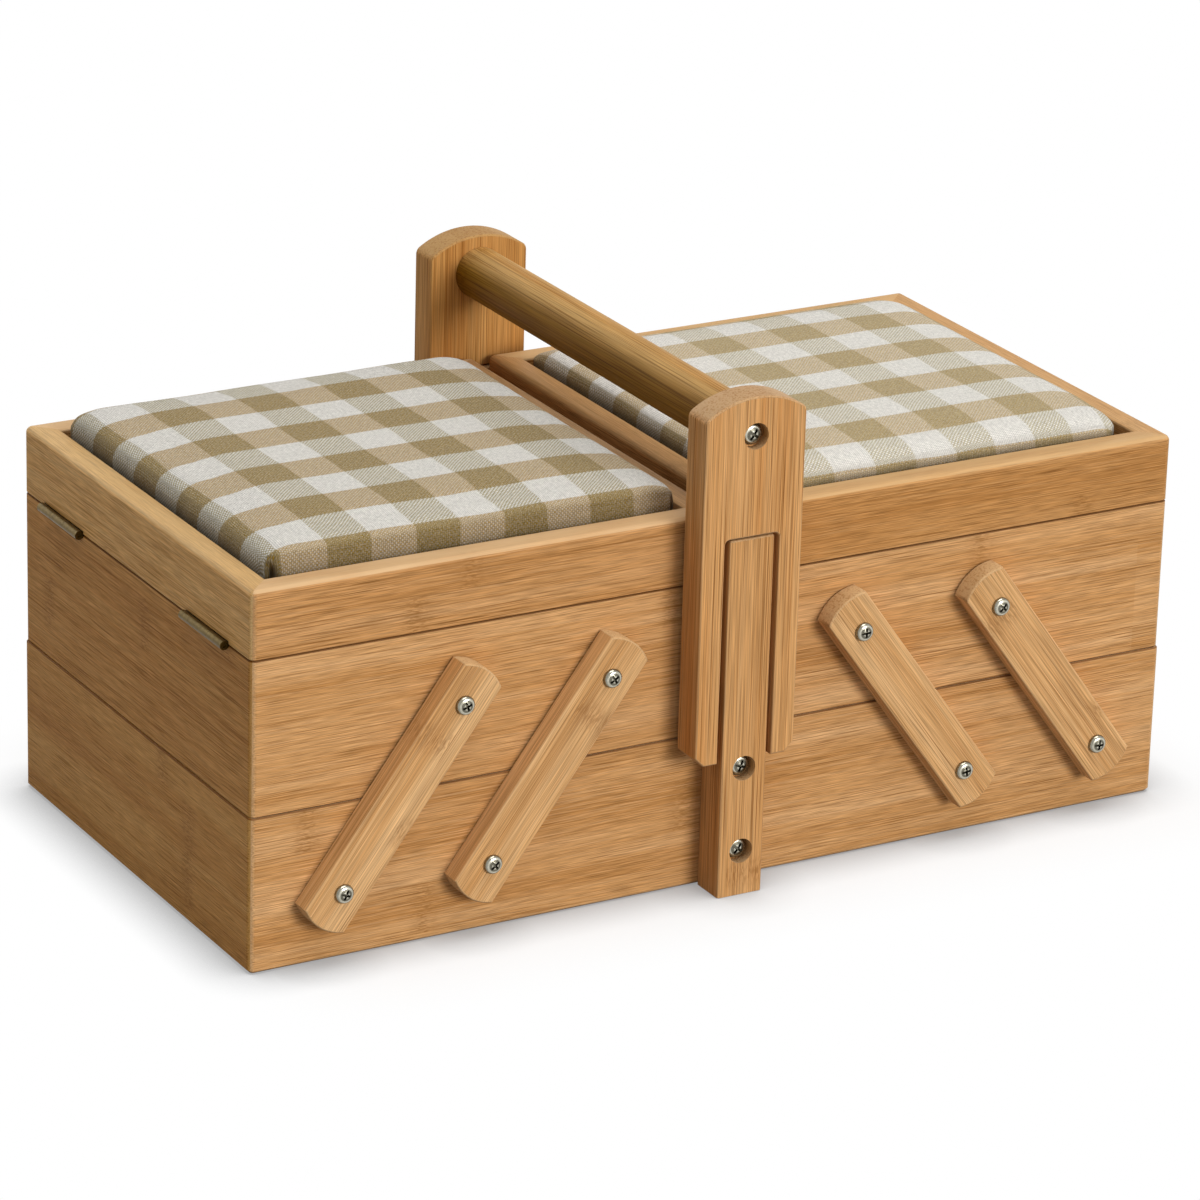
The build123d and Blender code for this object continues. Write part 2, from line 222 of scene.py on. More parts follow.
@dataclass(frozen=True)
class Bamboo:
    """Lacquered bamboo: honey strips with dark and pale fibres, node bands, dotted ends and a satin coat."""

    name: str
    pale: str
    honey: str
    russet: str
    dark_fibre: str
    end_grain: str
    # Pale colour of edges rubbed by wear and of the painted sheen on the tops of the walls
    rubbed: str = "#d6b68d"
    # Painted shadow in the seams where two boxes meet
    seam: str = "#70400c"
    strip_mm: float = 9.0
    strip_length_mm: float = 260.0
    strip_ends_per_metre: float = 0.9
    strip_share: float = 0.14
    # Where the ground is russet, honey and pale on the scale of its drift
    tone_stops: tuple[float, float, float] = (0.32, 0.50, 0.68)
    # Real bundles are about half as wide; drawn coarser so that they still show in a picture
    fibre_mm: float = 0.38
    fibre_length_mm: float = 32.0
    fibre_strength: float = 0.85
    # How rough the noise of the fibres is; a level is the stretch of it over which a mark comes in
    fibre_roughness: float = 0.55
    dark_level: tuple[float, float] = (0.50, 0.66)
    pale_level: tuple[float, float] = (0.52, 0.68)
    pale_strength: float = 0.62
    # Pale fibres and hairs beside the dark fibres: their length and width, as shares
    pale_size: tuple[float, float] = (1.3, 1.2)
    hair_size: tuple[float, float] = (0.3, 1.0)
    hair_shade: tuple[float, float] = (0.75, 1.19)
    # Patches where the dark fibres are strong, and what is left of them elsewhere
    patch_mm: tuple[float, float] = (60.0, 10.0)
    patch_level: tuple[float, float] = (0.35, 0.65)
    patch_least: float = 0.5
    node_pitch_mm: float = 330.0
    node_strip_mm: float = 21.0
    node_reach_mm: float = 9.0
    speck_mm: tuple[float, float] = (3.4, 0.6)
    speck_level: tuple[float, float] = (0.44, 0.62)
    speck_strength: tuple[float, float] = (0.10, 0.62)
    dot_mm: float = 0.9
    dot_strength: float = 0.65
    end_share: float = 0.8
    # Patches of the pale wear and painted sheen, and how strong they come out
    rub_mm: tuple[float, float] = (40.0, 6.0)
    rub_share: tuple[float, float] = (0.6, 0.95)
    # The lacquer is smoothest on the backs of the fibres; it is matt, so it mirrors little
    roughness: tuple[float, float] = (0.44, 0.58)
    relief_level: tuple[float, float] = (0.1, 0.7)
    fibre_depth_mm: float = 0.10
    bump: float = 0.3
    specular: float = 0.06

    def fibres(self, tree: bpy.types.NodeTree, grain: bpy.types.NodeSocket, layer: Layer,
               length: float, width: float) -> bpy.types.NodeSocket:
        """A pattern of fibres drawn out along the grain.

        Args:
            tree: The material's nodes.
            grain: Coordinates along, across and into the board, in metres.
            layer: Which layer of the pattern this is.
            length: Length of a fibre in millimetres.
            width: Width of a fibre in millimetres.

        Returns:
            A value around 0.5.
        """
        place = add_node(tree, "ShaderNodeMapping", {
            "Vector": grain, "Scale": (1 / (length * MM), 1 / (width * MM), 1 / (width * MM)),
            "Location": (layer.shift, layer.shift, layer.shift),
        })
        return add_node(tree, "ShaderNodeTexNoise", {
            "Vector": place, "Scale": 1.0, "Detail": layer.octaves,
            "Roughness": self.fibre_roughness,
        })

    def ground(self, tree: bpy.types.NodeTree, grain: bpy.types.NodeSocket) -> bpy.types.NodeSocket:
        """The broad tone: soft drifts of colour and, under them, the glued strips.

        Args:
            tree: The material's nodes.
            grain: Coordinates along, across and into the board.

        Returns:
            The colour without its fibres.
        """
        drift = self.fibres(tree, grain, Layer.DRIFT, self.strip_length_mm, self.strip_mm)
        strip = 1 / (self.strip_mm * MM)
        cells = add_node(tree, "ShaderNodeMapping", {
            "Vector": grain, "Scale": (self.strip_ends_per_metre, strip, strip / 2),
        })
        cell = add_node(tree, "ShaderNodeVectorMath", {0: cells}, operation="FLOOR")
        chance = add_node(tree, "ShaderNodeTexWhiteNoise", {"Vector": cell})
        tone = add_node(tree, "ShaderNodeMix", {0: self.strip_share, 2: drift, 3: chance})
        ramp = add_node(tree, "ShaderNodeValToRGB", {"Fac": tone})
        stops = ramp.node.color_ramp.elements
        stops[0].position, middle, stops[1].position = self.tone_stops
        stops[0].color = linear(self.russet)
        stops[1].color = linear(self.pale)
        stops.new(middle).color = linear(self.honey)
        return ramp

    def lined(self, tree: bpy.types.NodeTree, grain: bpy.types.NodeSocket,
              colour: bpy.types.NodeSocket) -> tuple[bpy.types.NodeSocket, bpy.types.NodeSocket]:
        """Draws the dark and pale fibres and the hair-fine ones over both.

        Args:
            tree: The material's nodes.
            grain: Coordinates along, across and into the board.
            colour: The colour to draw on.

        Returns:
            The lined colour, and the relief of the fibres.
        """
        length, width = self.fibre_length_mm, self.fibre_mm
        dark = self.fibres(tree, grain, Layer.DARK_FIBRE, length, width)
        patch = self.fibres(tree, grain, Layer.PATCH, *self.patch_mm)
        most = add_node(tree, "ShaderNodeMapRange", {
            "Value": patch, "From Min": self.patch_level[0], "From Max": self.patch_level[1],
            "To Min": self.patch_least * self.fibre_strength, "To Max": self.fibre_strength,
        })
        dark = add_node(tree, "ShaderNodeMapRange", {
            "Value": dark, "From Min": self.dark_level[0], "From Max": self.dark_level[1], "To Max": most,
        }, interpolation_type="SMOOTHSTEP")
        colour = add_node(tree, "ShaderNodeMix", {
            0: dark, 6: colour, 7: linear(self.dark_fibre),
        }, 2, data_type="RGBA")
        pale_length, pale_width = self.pale_size
        light = self.fibres(tree, grain, Layer.PALE_FIBRE, pale_length * length, pale_width * width)
        light = add_node(tree, "ShaderNodeMapRange", {
            "Value": light, "From Min": self.pale_level[0], "From Max": self.pale_level[1],
            "To Max": self.pale_strength,
        }, interpolation_type="SMOOTHSTEP")
        colour = add_node(tree, "ShaderNodeMix", {
            0: light, 6: colour, 7: linear(self.pale),
        }, 2, data_type="RGBA")
        hair = self.fibres(tree, grain, Layer.HAIR, self.hair_size[0] * length, self.hair_size[1] * width)
        shade = add_node(tree, "ShaderNodeMapRange", {
            "Value": hair, "From Min": NOISE_LOW, "From Max": NOISE_HIGH,
            "To Min": self.hair_shade[0], "To Max": self.hair_shade[1],
        })
        colour = add_node(tree, "ShaderNodeMix", {
            0: 1.0, 6: colour, 7: shade,
        }, 2, data_type="RGBA", blend_type="MULTIPLY")
        relief = add_node(tree, "ShaderNodeMath", {0: hair, 1: dark}, operation="SUBTRACT")
        return colour, relief

    def banded(self, tree: bpy.types.NodeTree, grain: bpy.types.NodeSocket,
               colour: bpy.types.NodeSocket) -> bpy.types.NodeSocket:
        """Marks the nodes of the stalk, where each strip has a short speckled band at its own place.

        Args:
            tree: The material's nodes.
            grain: Coordinates along, across and into the board.
            colour: The colour to draw on.

        Returns:
            The banded colour.
        """
        strip = 1 / (self.node_strip_mm * MM)
        cells = add_node(tree, "ShaderNodeMapping", {"Vector": grain, "Scale": (0.0, strip, strip)})
        cell = add_node(tree, "ShaderNodeVectorMath", {0: cells}, operation="FLOOR")
        chance = add_node(tree, "ShaderNodeTexWhiteNoise", {"Vector": cell})
        along = add_node(tree, "ShaderNodeSeparateXYZ", {"Vector": grain})
        pitch = self.node_pitch_mm * MM
        place = add_node(tree, "ShaderNodeMath", {0: chance, 1: pitch, 2: along}, operation="MULTIPLY_ADD")
        away = add_node(tree, "ShaderNodeMath", {0: place, 1: pitch / 2}, operation="PINGPONG")
        band = add_node(tree, "ShaderNodeMapRange", {
            "Value": away, "From Max": self.node_reach_mm * MM, "To Min": 1.0, "To Max": 0.0,
        }, interpolation_type="SMOOTHSTEP")
        speck = self.fibres(tree, grain, Layer.SPECK, *self.speck_mm)
        speck = add_node(tree, "ShaderNodeMapRange", {
            "Value": speck, "From Min": self.speck_level[0], "From Max": self.speck_level[1],
            "To Min": self.speck_strength[0], "To Max": self.speck_strength[1],
        }, interpolation_type="SMOOTHSTEP")
        mask = add_node(tree, "ShaderNodeMath", {0: band, 1: speck}, operation="MULTIPLY")
        return add_node(tree, "ShaderNodeMix", {
            0: mask, 6: colour, 7: linear(self.dark_fibre),
        }, 2, data_type="RGBA")

    def worn(self, tree: bpy.types.NodeTree, grain: bpy.types.NodeSocket,
             colour: bpy.types.NodeSocket) -> bpy.types.NodeSocket:
        """Gives cut ends their dots, rubs the handled edges paler, paints a pale sheen on the tops of the
        walls and paints shadow into the seams.

        Args:
            tree: The material's nodes.
            grain: Coordinates along, across and into the board.
            colour: The colour to draw on.

        Returns:
            The finished colour.
        """
        ends = add_node(tree, "ShaderNodeAttribute", out="Fac", attribute_name="end_grain")
        dots = self.fibres(tree, grain, Layer.END_DOT, self.dot_mm, self.dot_mm)
        dots = add_node(tree, "ShaderNodeMapRange", {
            "Value": dots, "From Min": self.dark_level[0], "From Max": self.dark_level[1],
            "To Max": self.dot_strength,
        }, interpolation_type="SMOOTHSTEP")
        dotted = add_node(tree, "ShaderNodeMix", {
            0: dots, 6: linear(self.end_grain), 7: linear(self.dark_fibre),
        }, 2, data_type="RGBA")
        share = add_node(tree, "ShaderNodeMath", {0: ends, 1: self.end_share}, operation="MULTIPLY")
        colour = add_node(tree, "ShaderNodeMix", {0: share, 6: colour, 7: dotted}, 2, data_type="RGBA")
        # Edges pale from wear, and a painted sheen where light glances off the tops of the walls
        eased = add_node(tree, "ShaderNodeAttribute", out="Fac", attribute_name="eased")
        wear_and_sheen_mix = self.fibres(tree, grain, Layer.RUB, *self.rub_mm)
        wear_and_sheen_mix = add_node(tree, "ShaderNodeMapRange", {
            "Value": wear_and_sheen_mix, "From Min": NOISE_LOW, "From Max": NOISE_HIGH,
            "To Min": self.rub_share[0], "To Max": self.rub_share[1],
        })
        wear_and_sheen_mix = add_node(tree, "ShaderNodeMath", {0: wear_and_sheen_mix, 1: eased}, operation="MULTIPLY")
        colour = add_node(tree, "ShaderNodeMix", {
            0: wear_and_sheen_mix, 6: colour, 7: linear(self.rubbed),
        }, 2, data_type="RGBA")
        # Painted shadow in the seams, darkening the eased edges where two boxes meet
        seam = add_node(tree, "ShaderNodeAttribute", out="Fac", attribute_name="seam")
        colour = add_node(tree, "ShaderNodeMix", {
            0: seam, 6: colour, 7: linear(self.seam),
        }, 2, data_type="RGBA")
        # The piece's own tint, which on the back upright is painted shade and on the grip bar painted light
        # and shade
        stain = add_node(tree, "ShaderNodeAttribute", out="Color", attribute_name="stain")
        return add_node(tree, "ShaderNodeMix", {
            0: 1.0, 6: colour, 7: stain,
        }, 2, data_type="RGBA", blend_type="MULTIPLY")

    def material(self) -> bpy.types.Material:
        """Builds the bamboo from the attributes that a board carries.

        Returns:
            The finished material.
        """
        material, tree = new_material(self.name)
        grain = add_node(tree, "ShaderNodeAttribute", out="Vector", attribute_name="grain")
        colour, relief = self.lined(tree, grain, self.ground(tree, grain))
        colour = self.worn(tree, grain, self.banded(tree, grain, colour))
        gloss = add_node(tree, "ShaderNodeMapRange", {
            "Value": relief, "From Min": self.relief_level[0], "From Max": self.relief_level[1],
            "To Min": self.roughness[1], "To Max": self.roughness[0],
        })
        bump = add_node(tree, "ShaderNodeBump", {
            "Height": relief, "Strength": self.bump, "Distance": self.fibre_depth_mm * MM,
        })
        shader = add_node(tree, "ShaderNodeBsdfPrincipled", {
            "Base Color": colour, "Roughness": gloss, "Normal": bump, "IOR": COMMON_IOR,
            "Specular IOR Level": self.specular,
        })
        add_node(tree, "ShaderNodeOutputMaterial", {"Surface": shader})
        return material


@dataclass(frozen=True)
class Gingham:
    """Cotton gingham: white and taupe threads that cross to white, two mid tones and taupe squares."""

    name: str = "gingham_cotton"
    white: str = "#d3cfc7"
    weft_tone: str = "#b3a081"
    warp_tone: str = "#b9b2a0"
    taupe: str = "#96835d"
    # The check repeats once in this width; each square is half of it
    repeat_mm: float = 36.6
    # Real threads are about half as wide; drawn coarser so that they still show in a picture
    thread_mm: float = 0.8
    thread_depth_mm: float = 0.22
    bump: float = 0.7
    # How much a coloured thread shows more on top of a crossing than under it
    warp_spread: float = 0.80
    weft_spread: float = 0.24
    # How far coloured weft hides that of the warp
    weft_cover: float = 0.65
    # Half the width over which a band changes colour, in threads
    band_edge: float = 0.4
    # How far the weave wanders off its straight lines, and how often
    wander_mm: float = 1.3
    wanders_per_mm: float = 0.03
    # Specks of the uneven dye, and thick and thin places of the threads in X and Y of the cloth
    dyes_per_mm: float = 1.3
    dye_uptake: tuple[float, float] = (0.80, 1.20)
    slubs_per_mm: tuple[float, float] = (0.9, 0.42)
    slub_shade: tuple[float, float] = (0.87, 1.11)
    # Painted shade in the gaps between the threads, up to painted light on their tops
    thread_shade: tuple[float, float] = (0.52, 1.21)
    roughness: tuple[float, float] = (0.95, 0.82)
    specular: float = 0.1
    sheen: float = 0.08
    sheen_roughness: float = 0.5

    def thread_set(self, tree: bpy.types.NodeTree,
                   place: bpy.types.NodeSocket) -> tuple[bpy.types.NodeSocket, ...]:
        """One set of parallel threads.

        Args:
            tree: The material's nodes.
            place: Distance across the threads in metres, zero in the middle of a white band.

        Returns:
            Whether the threads are taupe, the number of the thread, and the roundness of its top.
        """
        quarter = self.repeat_mm * MM / 4
        away = add_node(tree, "ShaderNodeMath", {0: place, 1: 2 * quarter}, operation="PINGPONG")
        edge = self.thread_mm * MM * self.band_edge
        taupe = add_node(tree, "ShaderNodeMapRange", {
            "Value": away, "From Min": quarter - edge, "From Max": quarter + edge,
        })
        turns = add_node(tree, "ShaderNodeMath", {0: place, 1: self.thread_mm * MM}, operation="DIVIDE")
        number = add_node(tree, "ShaderNodeMath", {0: turns}, operation="FLOOR")
        angle = add_node(tree, "ShaderNodeMath", {0: turns, 1: pi}, operation="MULTIPLY")
        wave = add_node(tree, "ShaderNodeMath", {0: angle}, operation="SINE")
        return taupe, number, add_node(tree, "ShaderNodeMath", {0: wave}, operation="ABSOLUTE")

    def material(self) -> bpy.types.Material:
        """Builds the cloth from the weave attribute, which holds the place on the cloth in metres.

        Returns:
            The finished material.
        """
        material, tree = new_material(self.name)
        weave = add_node(tree, "ShaderNodeAttribute", out="Vector", attribute_name="weave")
        drift = add_node(tree, "ShaderNodeTexNoise", {
            "Vector": weave, "Scale": self.wanders_per_mm / MM, "Detail": 1.0,
        }, "Color")
        reach = self.wander_mm * MM
        swing = add_node(tree, "ShaderNodeMapRange", {
            6: drift, 9: (-reach, -reach, 0.0), 10: (reach, reach, 0.0),
        }, 1, data_type="FLOAT_VECTOR")
        place = add_node(tree, "ShaderNodeVectorMath", {0: weave, 1: swing}, operation="ADD")
        across = add_node(tree, "ShaderNodeSeparateXYZ", {"Vector": place}, "X")
        warp, warp_number, warp_round = self.thread_set(tree, across)
        weft, weft_number, weft_round = self.thread_set(tree, across.node.outputs["Y"])

        # Which thread lies on top at each crossing of the plain weave
        count = add_node(tree, "ShaderNodeMath", {0: warp_number, 1: weft_number}, operation="ADD")
        over = add_node(tree, "ShaderNodeMath", {0: count, 1: 1.0}, operation="PINGPONG")
        upper = add_node(tree, "ShaderNodeMapRange", {
            "Value": over, "To Min": 1 - self.warp_spread, "To Max": 1 + self.warp_spread,
        })
        lower = add_node(tree, "ShaderNodeMapRange", {
            "Value": over, "To Min": 1 + self.weft_spread, "To Max": 1 - self.weft_spread,
        })
        covered = add_node(tree, "ShaderNodeMath", {0: weft, 1: self.weft_cover}, operation="MULTIPLY")
        upper = add_node(tree, "ShaderNodeMix", {0: covered, 2: upper, 3: 1.0})
        # The dye takes unevenly, which speckles the coloured squares
        uptake = add_node(tree, "ShaderNodeTexNoise", {
            "Vector": weave, "Scale": self.dyes_per_mm / MM, "Detail": 1.0,
        })
        dye = add_node(tree, "ShaderNodeMapRange", {
            "Value": uptake, "From Min": NOISE_LOW, "From Max": NOISE_HIGH,
            "To Min": self.dye_uptake[0], "To Max": self.dye_uptake[1],
        })
        upper = add_node(tree, "ShaderNodeMath", {0: upper, 1: dye}, operation="MULTIPLY")
        lower = add_node(tree, "ShaderNodeMath", {0: lower, 1: dye}, operation="MULTIPLY")
        warp = add_node(tree, "ShaderNodeMath", {0: warp, 1: upper}, operation="MULTIPLY")
        weft = add_node(tree, "ShaderNodeMath", {0: weft, 1: lower}, operation="MULTIPLY")
        plain = add_node(tree, "ShaderNodeMix", {
            0: weft, 6: linear(self.white), 7: linear(self.weft_tone),
        }, 2, data_type="RGBA", clamp_factor=False)
        crossed = add_node(tree, "ShaderNodeMix", {
            0: weft, 6: linear(self.warp_tone), 7: linear(self.taupe),
        }, 2, data_type="RGBA", clamp_factor=False)
        colour = add_node(tree, "ShaderNodeMix", {
            0: warp, 6: plain, 7: crossed,
        }, 2, data_type="RGBA", clamp_factor=False)

        # Round threads, painted shade in the gaps between them and painted light on their tops, and slubs
        # where a thread is thicker
        height = add_node(tree, "ShaderNodeMix", {0: over, 2: weft_round, 3: warp_round})
        gap = add_node(tree, "ShaderNodeMapRange", {
            "Value": height, "To Min": self.thread_shade[0], "To Max": self.thread_shade[1],
        })
        stretch = add_node(tree, "ShaderNodeMapping", {
            "Vector": weave, "Scale": (self.slubs_per_mm[0] / MM, self.slubs_per_mm[1] / MM, 1.0),
        })
        slub = add_node(tree, "ShaderNodeTexNoise", {"Vector": stretch, "Scale": 1.0, "Detail": 2.0})
        uneven = add_node(tree, "ShaderNodeMapRange", {
            "Value": slub, "From Min": NOISE_LOW, "From Max": NOISE_HIGH,
            "To Min": self.slub_shade[0], "To Max": self.slub_shade[1],
        })
        shade = add_node(tree, "ShaderNodeMath", {0: gap, 1: uneven}, operation="MULTIPLY")
        # Painted shade on the steep sides and by the rim, times the pad's painted light level
        painted_shade_level = add_node(tree, "ShaderNodeAttribute", out="Fac", attribute_name="shade")
        shade = add_node(tree, "ShaderNodeMath", {0: shade, 1: painted_shade_level}, operation="MULTIPLY")
        colour = add_node(tree, "ShaderNodeMix", {
            0: 1.0, 6: colour, 7: shade,
        }, 2, data_type="RGBA", blend_type="MULTIPLY")
        bump = add_node(tree, "ShaderNodeBump", {
            "Height": height, "Strength": self.bump, "Distance": self.thread_depth_mm * MM,
        })
        rough = add_node(tree, "ShaderNodeMapRange", {
            "Value": height, "To Min": self.roughness[0], "To Max": self.roughness[1],
        })
        shader = add_node(tree, "ShaderNodeBsdfPrincipled", {
            "Base Color": colour, "Roughness": rough, "Normal": bump, "IOR": COMMON_IOR,
            "Specular IOR Level": self.specular, "Sheen Weight": self.sheen,
            "Sheen Roughness": self.sheen_roughness,
        })
        add_node(tree, "ShaderNodeOutputMaterial", {"Surface": shader})
        return material


@dataclass(frozen=True)
class Metal:
    """Plated metal: a mottled plating over the bare colour, partly painted reflection of darker surroundings,
    with fine scratches in its gloss.
    """

    name: str
    bright: str
    dull: str
    # Colour of painted shade in recesses and of painted dark reflections, where the sunk attribute is set
    sunk: str
    roughness: tuple[float, float]
    mottle_mm: float = 1.6
    scratch_mm: float = 0.4
    scratch_depth_mm: float = 0.03
    bump: float = 0.15

    def material(self) -> bpy.types.Material:
        """Builds the plating from Object coordinates, darker where the sunk attribute marks painted shade and
        painted dark reflection.

        Returns:
            The finished material.
        """
        material, tree = new_material(self.name)
        place = add_node(tree, "ShaderNodeTexCoord", out="Object")
        # The mottle of dull and bright tones is partly the plating's own and partly painted reflection of
        # darker surroundings
        mottle = add_node(tree, "ShaderNodeTexNoise", {
            "Vector": place, "Scale": 1 / (self.mottle_mm * MM), "Detail": 4.0,
        })
        colour = add_node(tree, "ShaderNodeMix", {
            0: mottle, 6: linear(self.dull), 7: linear(self.bright),
        }, 2, data_type="RGBA")
        # Painted shade in the driver's cross and painted dark reflection on pan-head rims
        sunk = add_node(tree, "ShaderNodeAttribute", out="Fac", attribute_name="sunk")
        colour = add_node(tree, "ShaderNodeMix", {
            0: sunk, 6: colour, 7: linear(self.sunk),
        }, 2, data_type="RGBA")
        scratch = add_node(tree, "ShaderNodeTexNoise", {
            "Vector": place, "Scale": 1 / (self.scratch_mm * MM), "Detail": 2.0,
        })
        rough = add_node(tree, "ShaderNodeMapRange", {
            "Value": scratch, "From Min": NOISE_LOW, "From Max": NOISE_HIGH,
            "To Min": self.roughness[0], "To Max": self.roughness[1],
        })
        bump = add_node(tree, "ShaderNodeBump", {
            "Height": scratch, "Strength": self.bump, "Distance": self.scratch_depth_mm * MM,
        })
        shader = add_node(tree, "ShaderNodeBsdfPrincipled", {
            "Base Color": colour, "Metallic": 1.0, "Roughness": rough, "Normal": bump,
        })
        add_node(tree, "ShaderNodeOutputMaterial", {"Surface": shader})
        return material


def baked_mesh(source: bpy.types.Object, name: str) -> bpy.types.Mesh:
    """The plain mesh that an object's modifiers give.

    Args:
        source: An object that is linked to the scene.
        name: Name of the new mesh.

    Returns:
        A mesh that stands alone.
    """
    graph = bpy.context.evaluated_depsgraph_get()
    mesh = bpy.data.meshes.new_from_object(source.evaluated_get(graph), depsgraph=graph)
    mesh.name = name
    return mesh


def linked(name: str, mesh: bpy.types.Mesh) -> bpy.types.Object:
    """Puts a mesh in the scene as an object at the origin.

    Args:
        name: Name of the object.
        mesh: Its mesh, with its place in its points.

    Returns:
        The new object.
    """
    piece = bpy.data.objects.new(name, mesh)
    bpy.context.scene.collection.objects.link(piece)
    return piece


def discard(piece: bpy.types.Object) -> None:
    """Removes a helper object and its mesh.

    Args:
        piece: The helper.
    """
    mesh = piece.data
    bpy.data.objects.remove(piece)
    bpy.data.meshes.remove(mesh)


def clean_copy(node: str) -> bpy.types.Mesh:
    """A copy of a CAD node with its loose triangles merged and its flat faces joined.

    Args:
        node: Name of the CAD node.

    Returns:
        The new mesh, with no attributes of the old one.
    """
    source = frame["nodes"][node].data
    mesh = bpy.data.meshes.new(node)
    mesh.from_pydata([v.co for v in source.vertices], [], [list(p.vertices) for p in source.polygons])
    shape = bmesh.new()
    shape.from_mesh(mesh)
    bmesh.ops.remove_doubles(shape, verts=shape.verts, dist=MERGE_MM * MM)
    bmesh.ops.dissolve_limit(shape, angle_limit=FLAT_ANGLE, verts=shape.verts, edges=shape.edges)
    for edge in shape.edges:
        edge.smooth = edge.calc_face_angle(pi) < CAD_SHARP_ANGLE
    for face in shape.faces:
        face.smooth = True
    shape.to_mesh(mesh)
    shape.free()
    return mesh


def rounded_copy(node: str, name: str) -> bpy.types.Object:
    """A copy of a CAD node whose eased edges shade as rounded ones.

    Args:
        node: Name of the CAD node.
        name: Name of the new piece.

    Returns:
        The new piece, not yet riding on anything.
    """
    helper = linked(name + "_helper", clean_copy(node))
    weigh = helper.modifiers.new("face_normals", "WEIGHTED_NORMAL")
    weigh.weight = FACE_WEIGHT
    weigh.keep_sharp = True
    mesh = baked_mesh(helper, name)
    discard(helper)
    return linked(name, mesh)


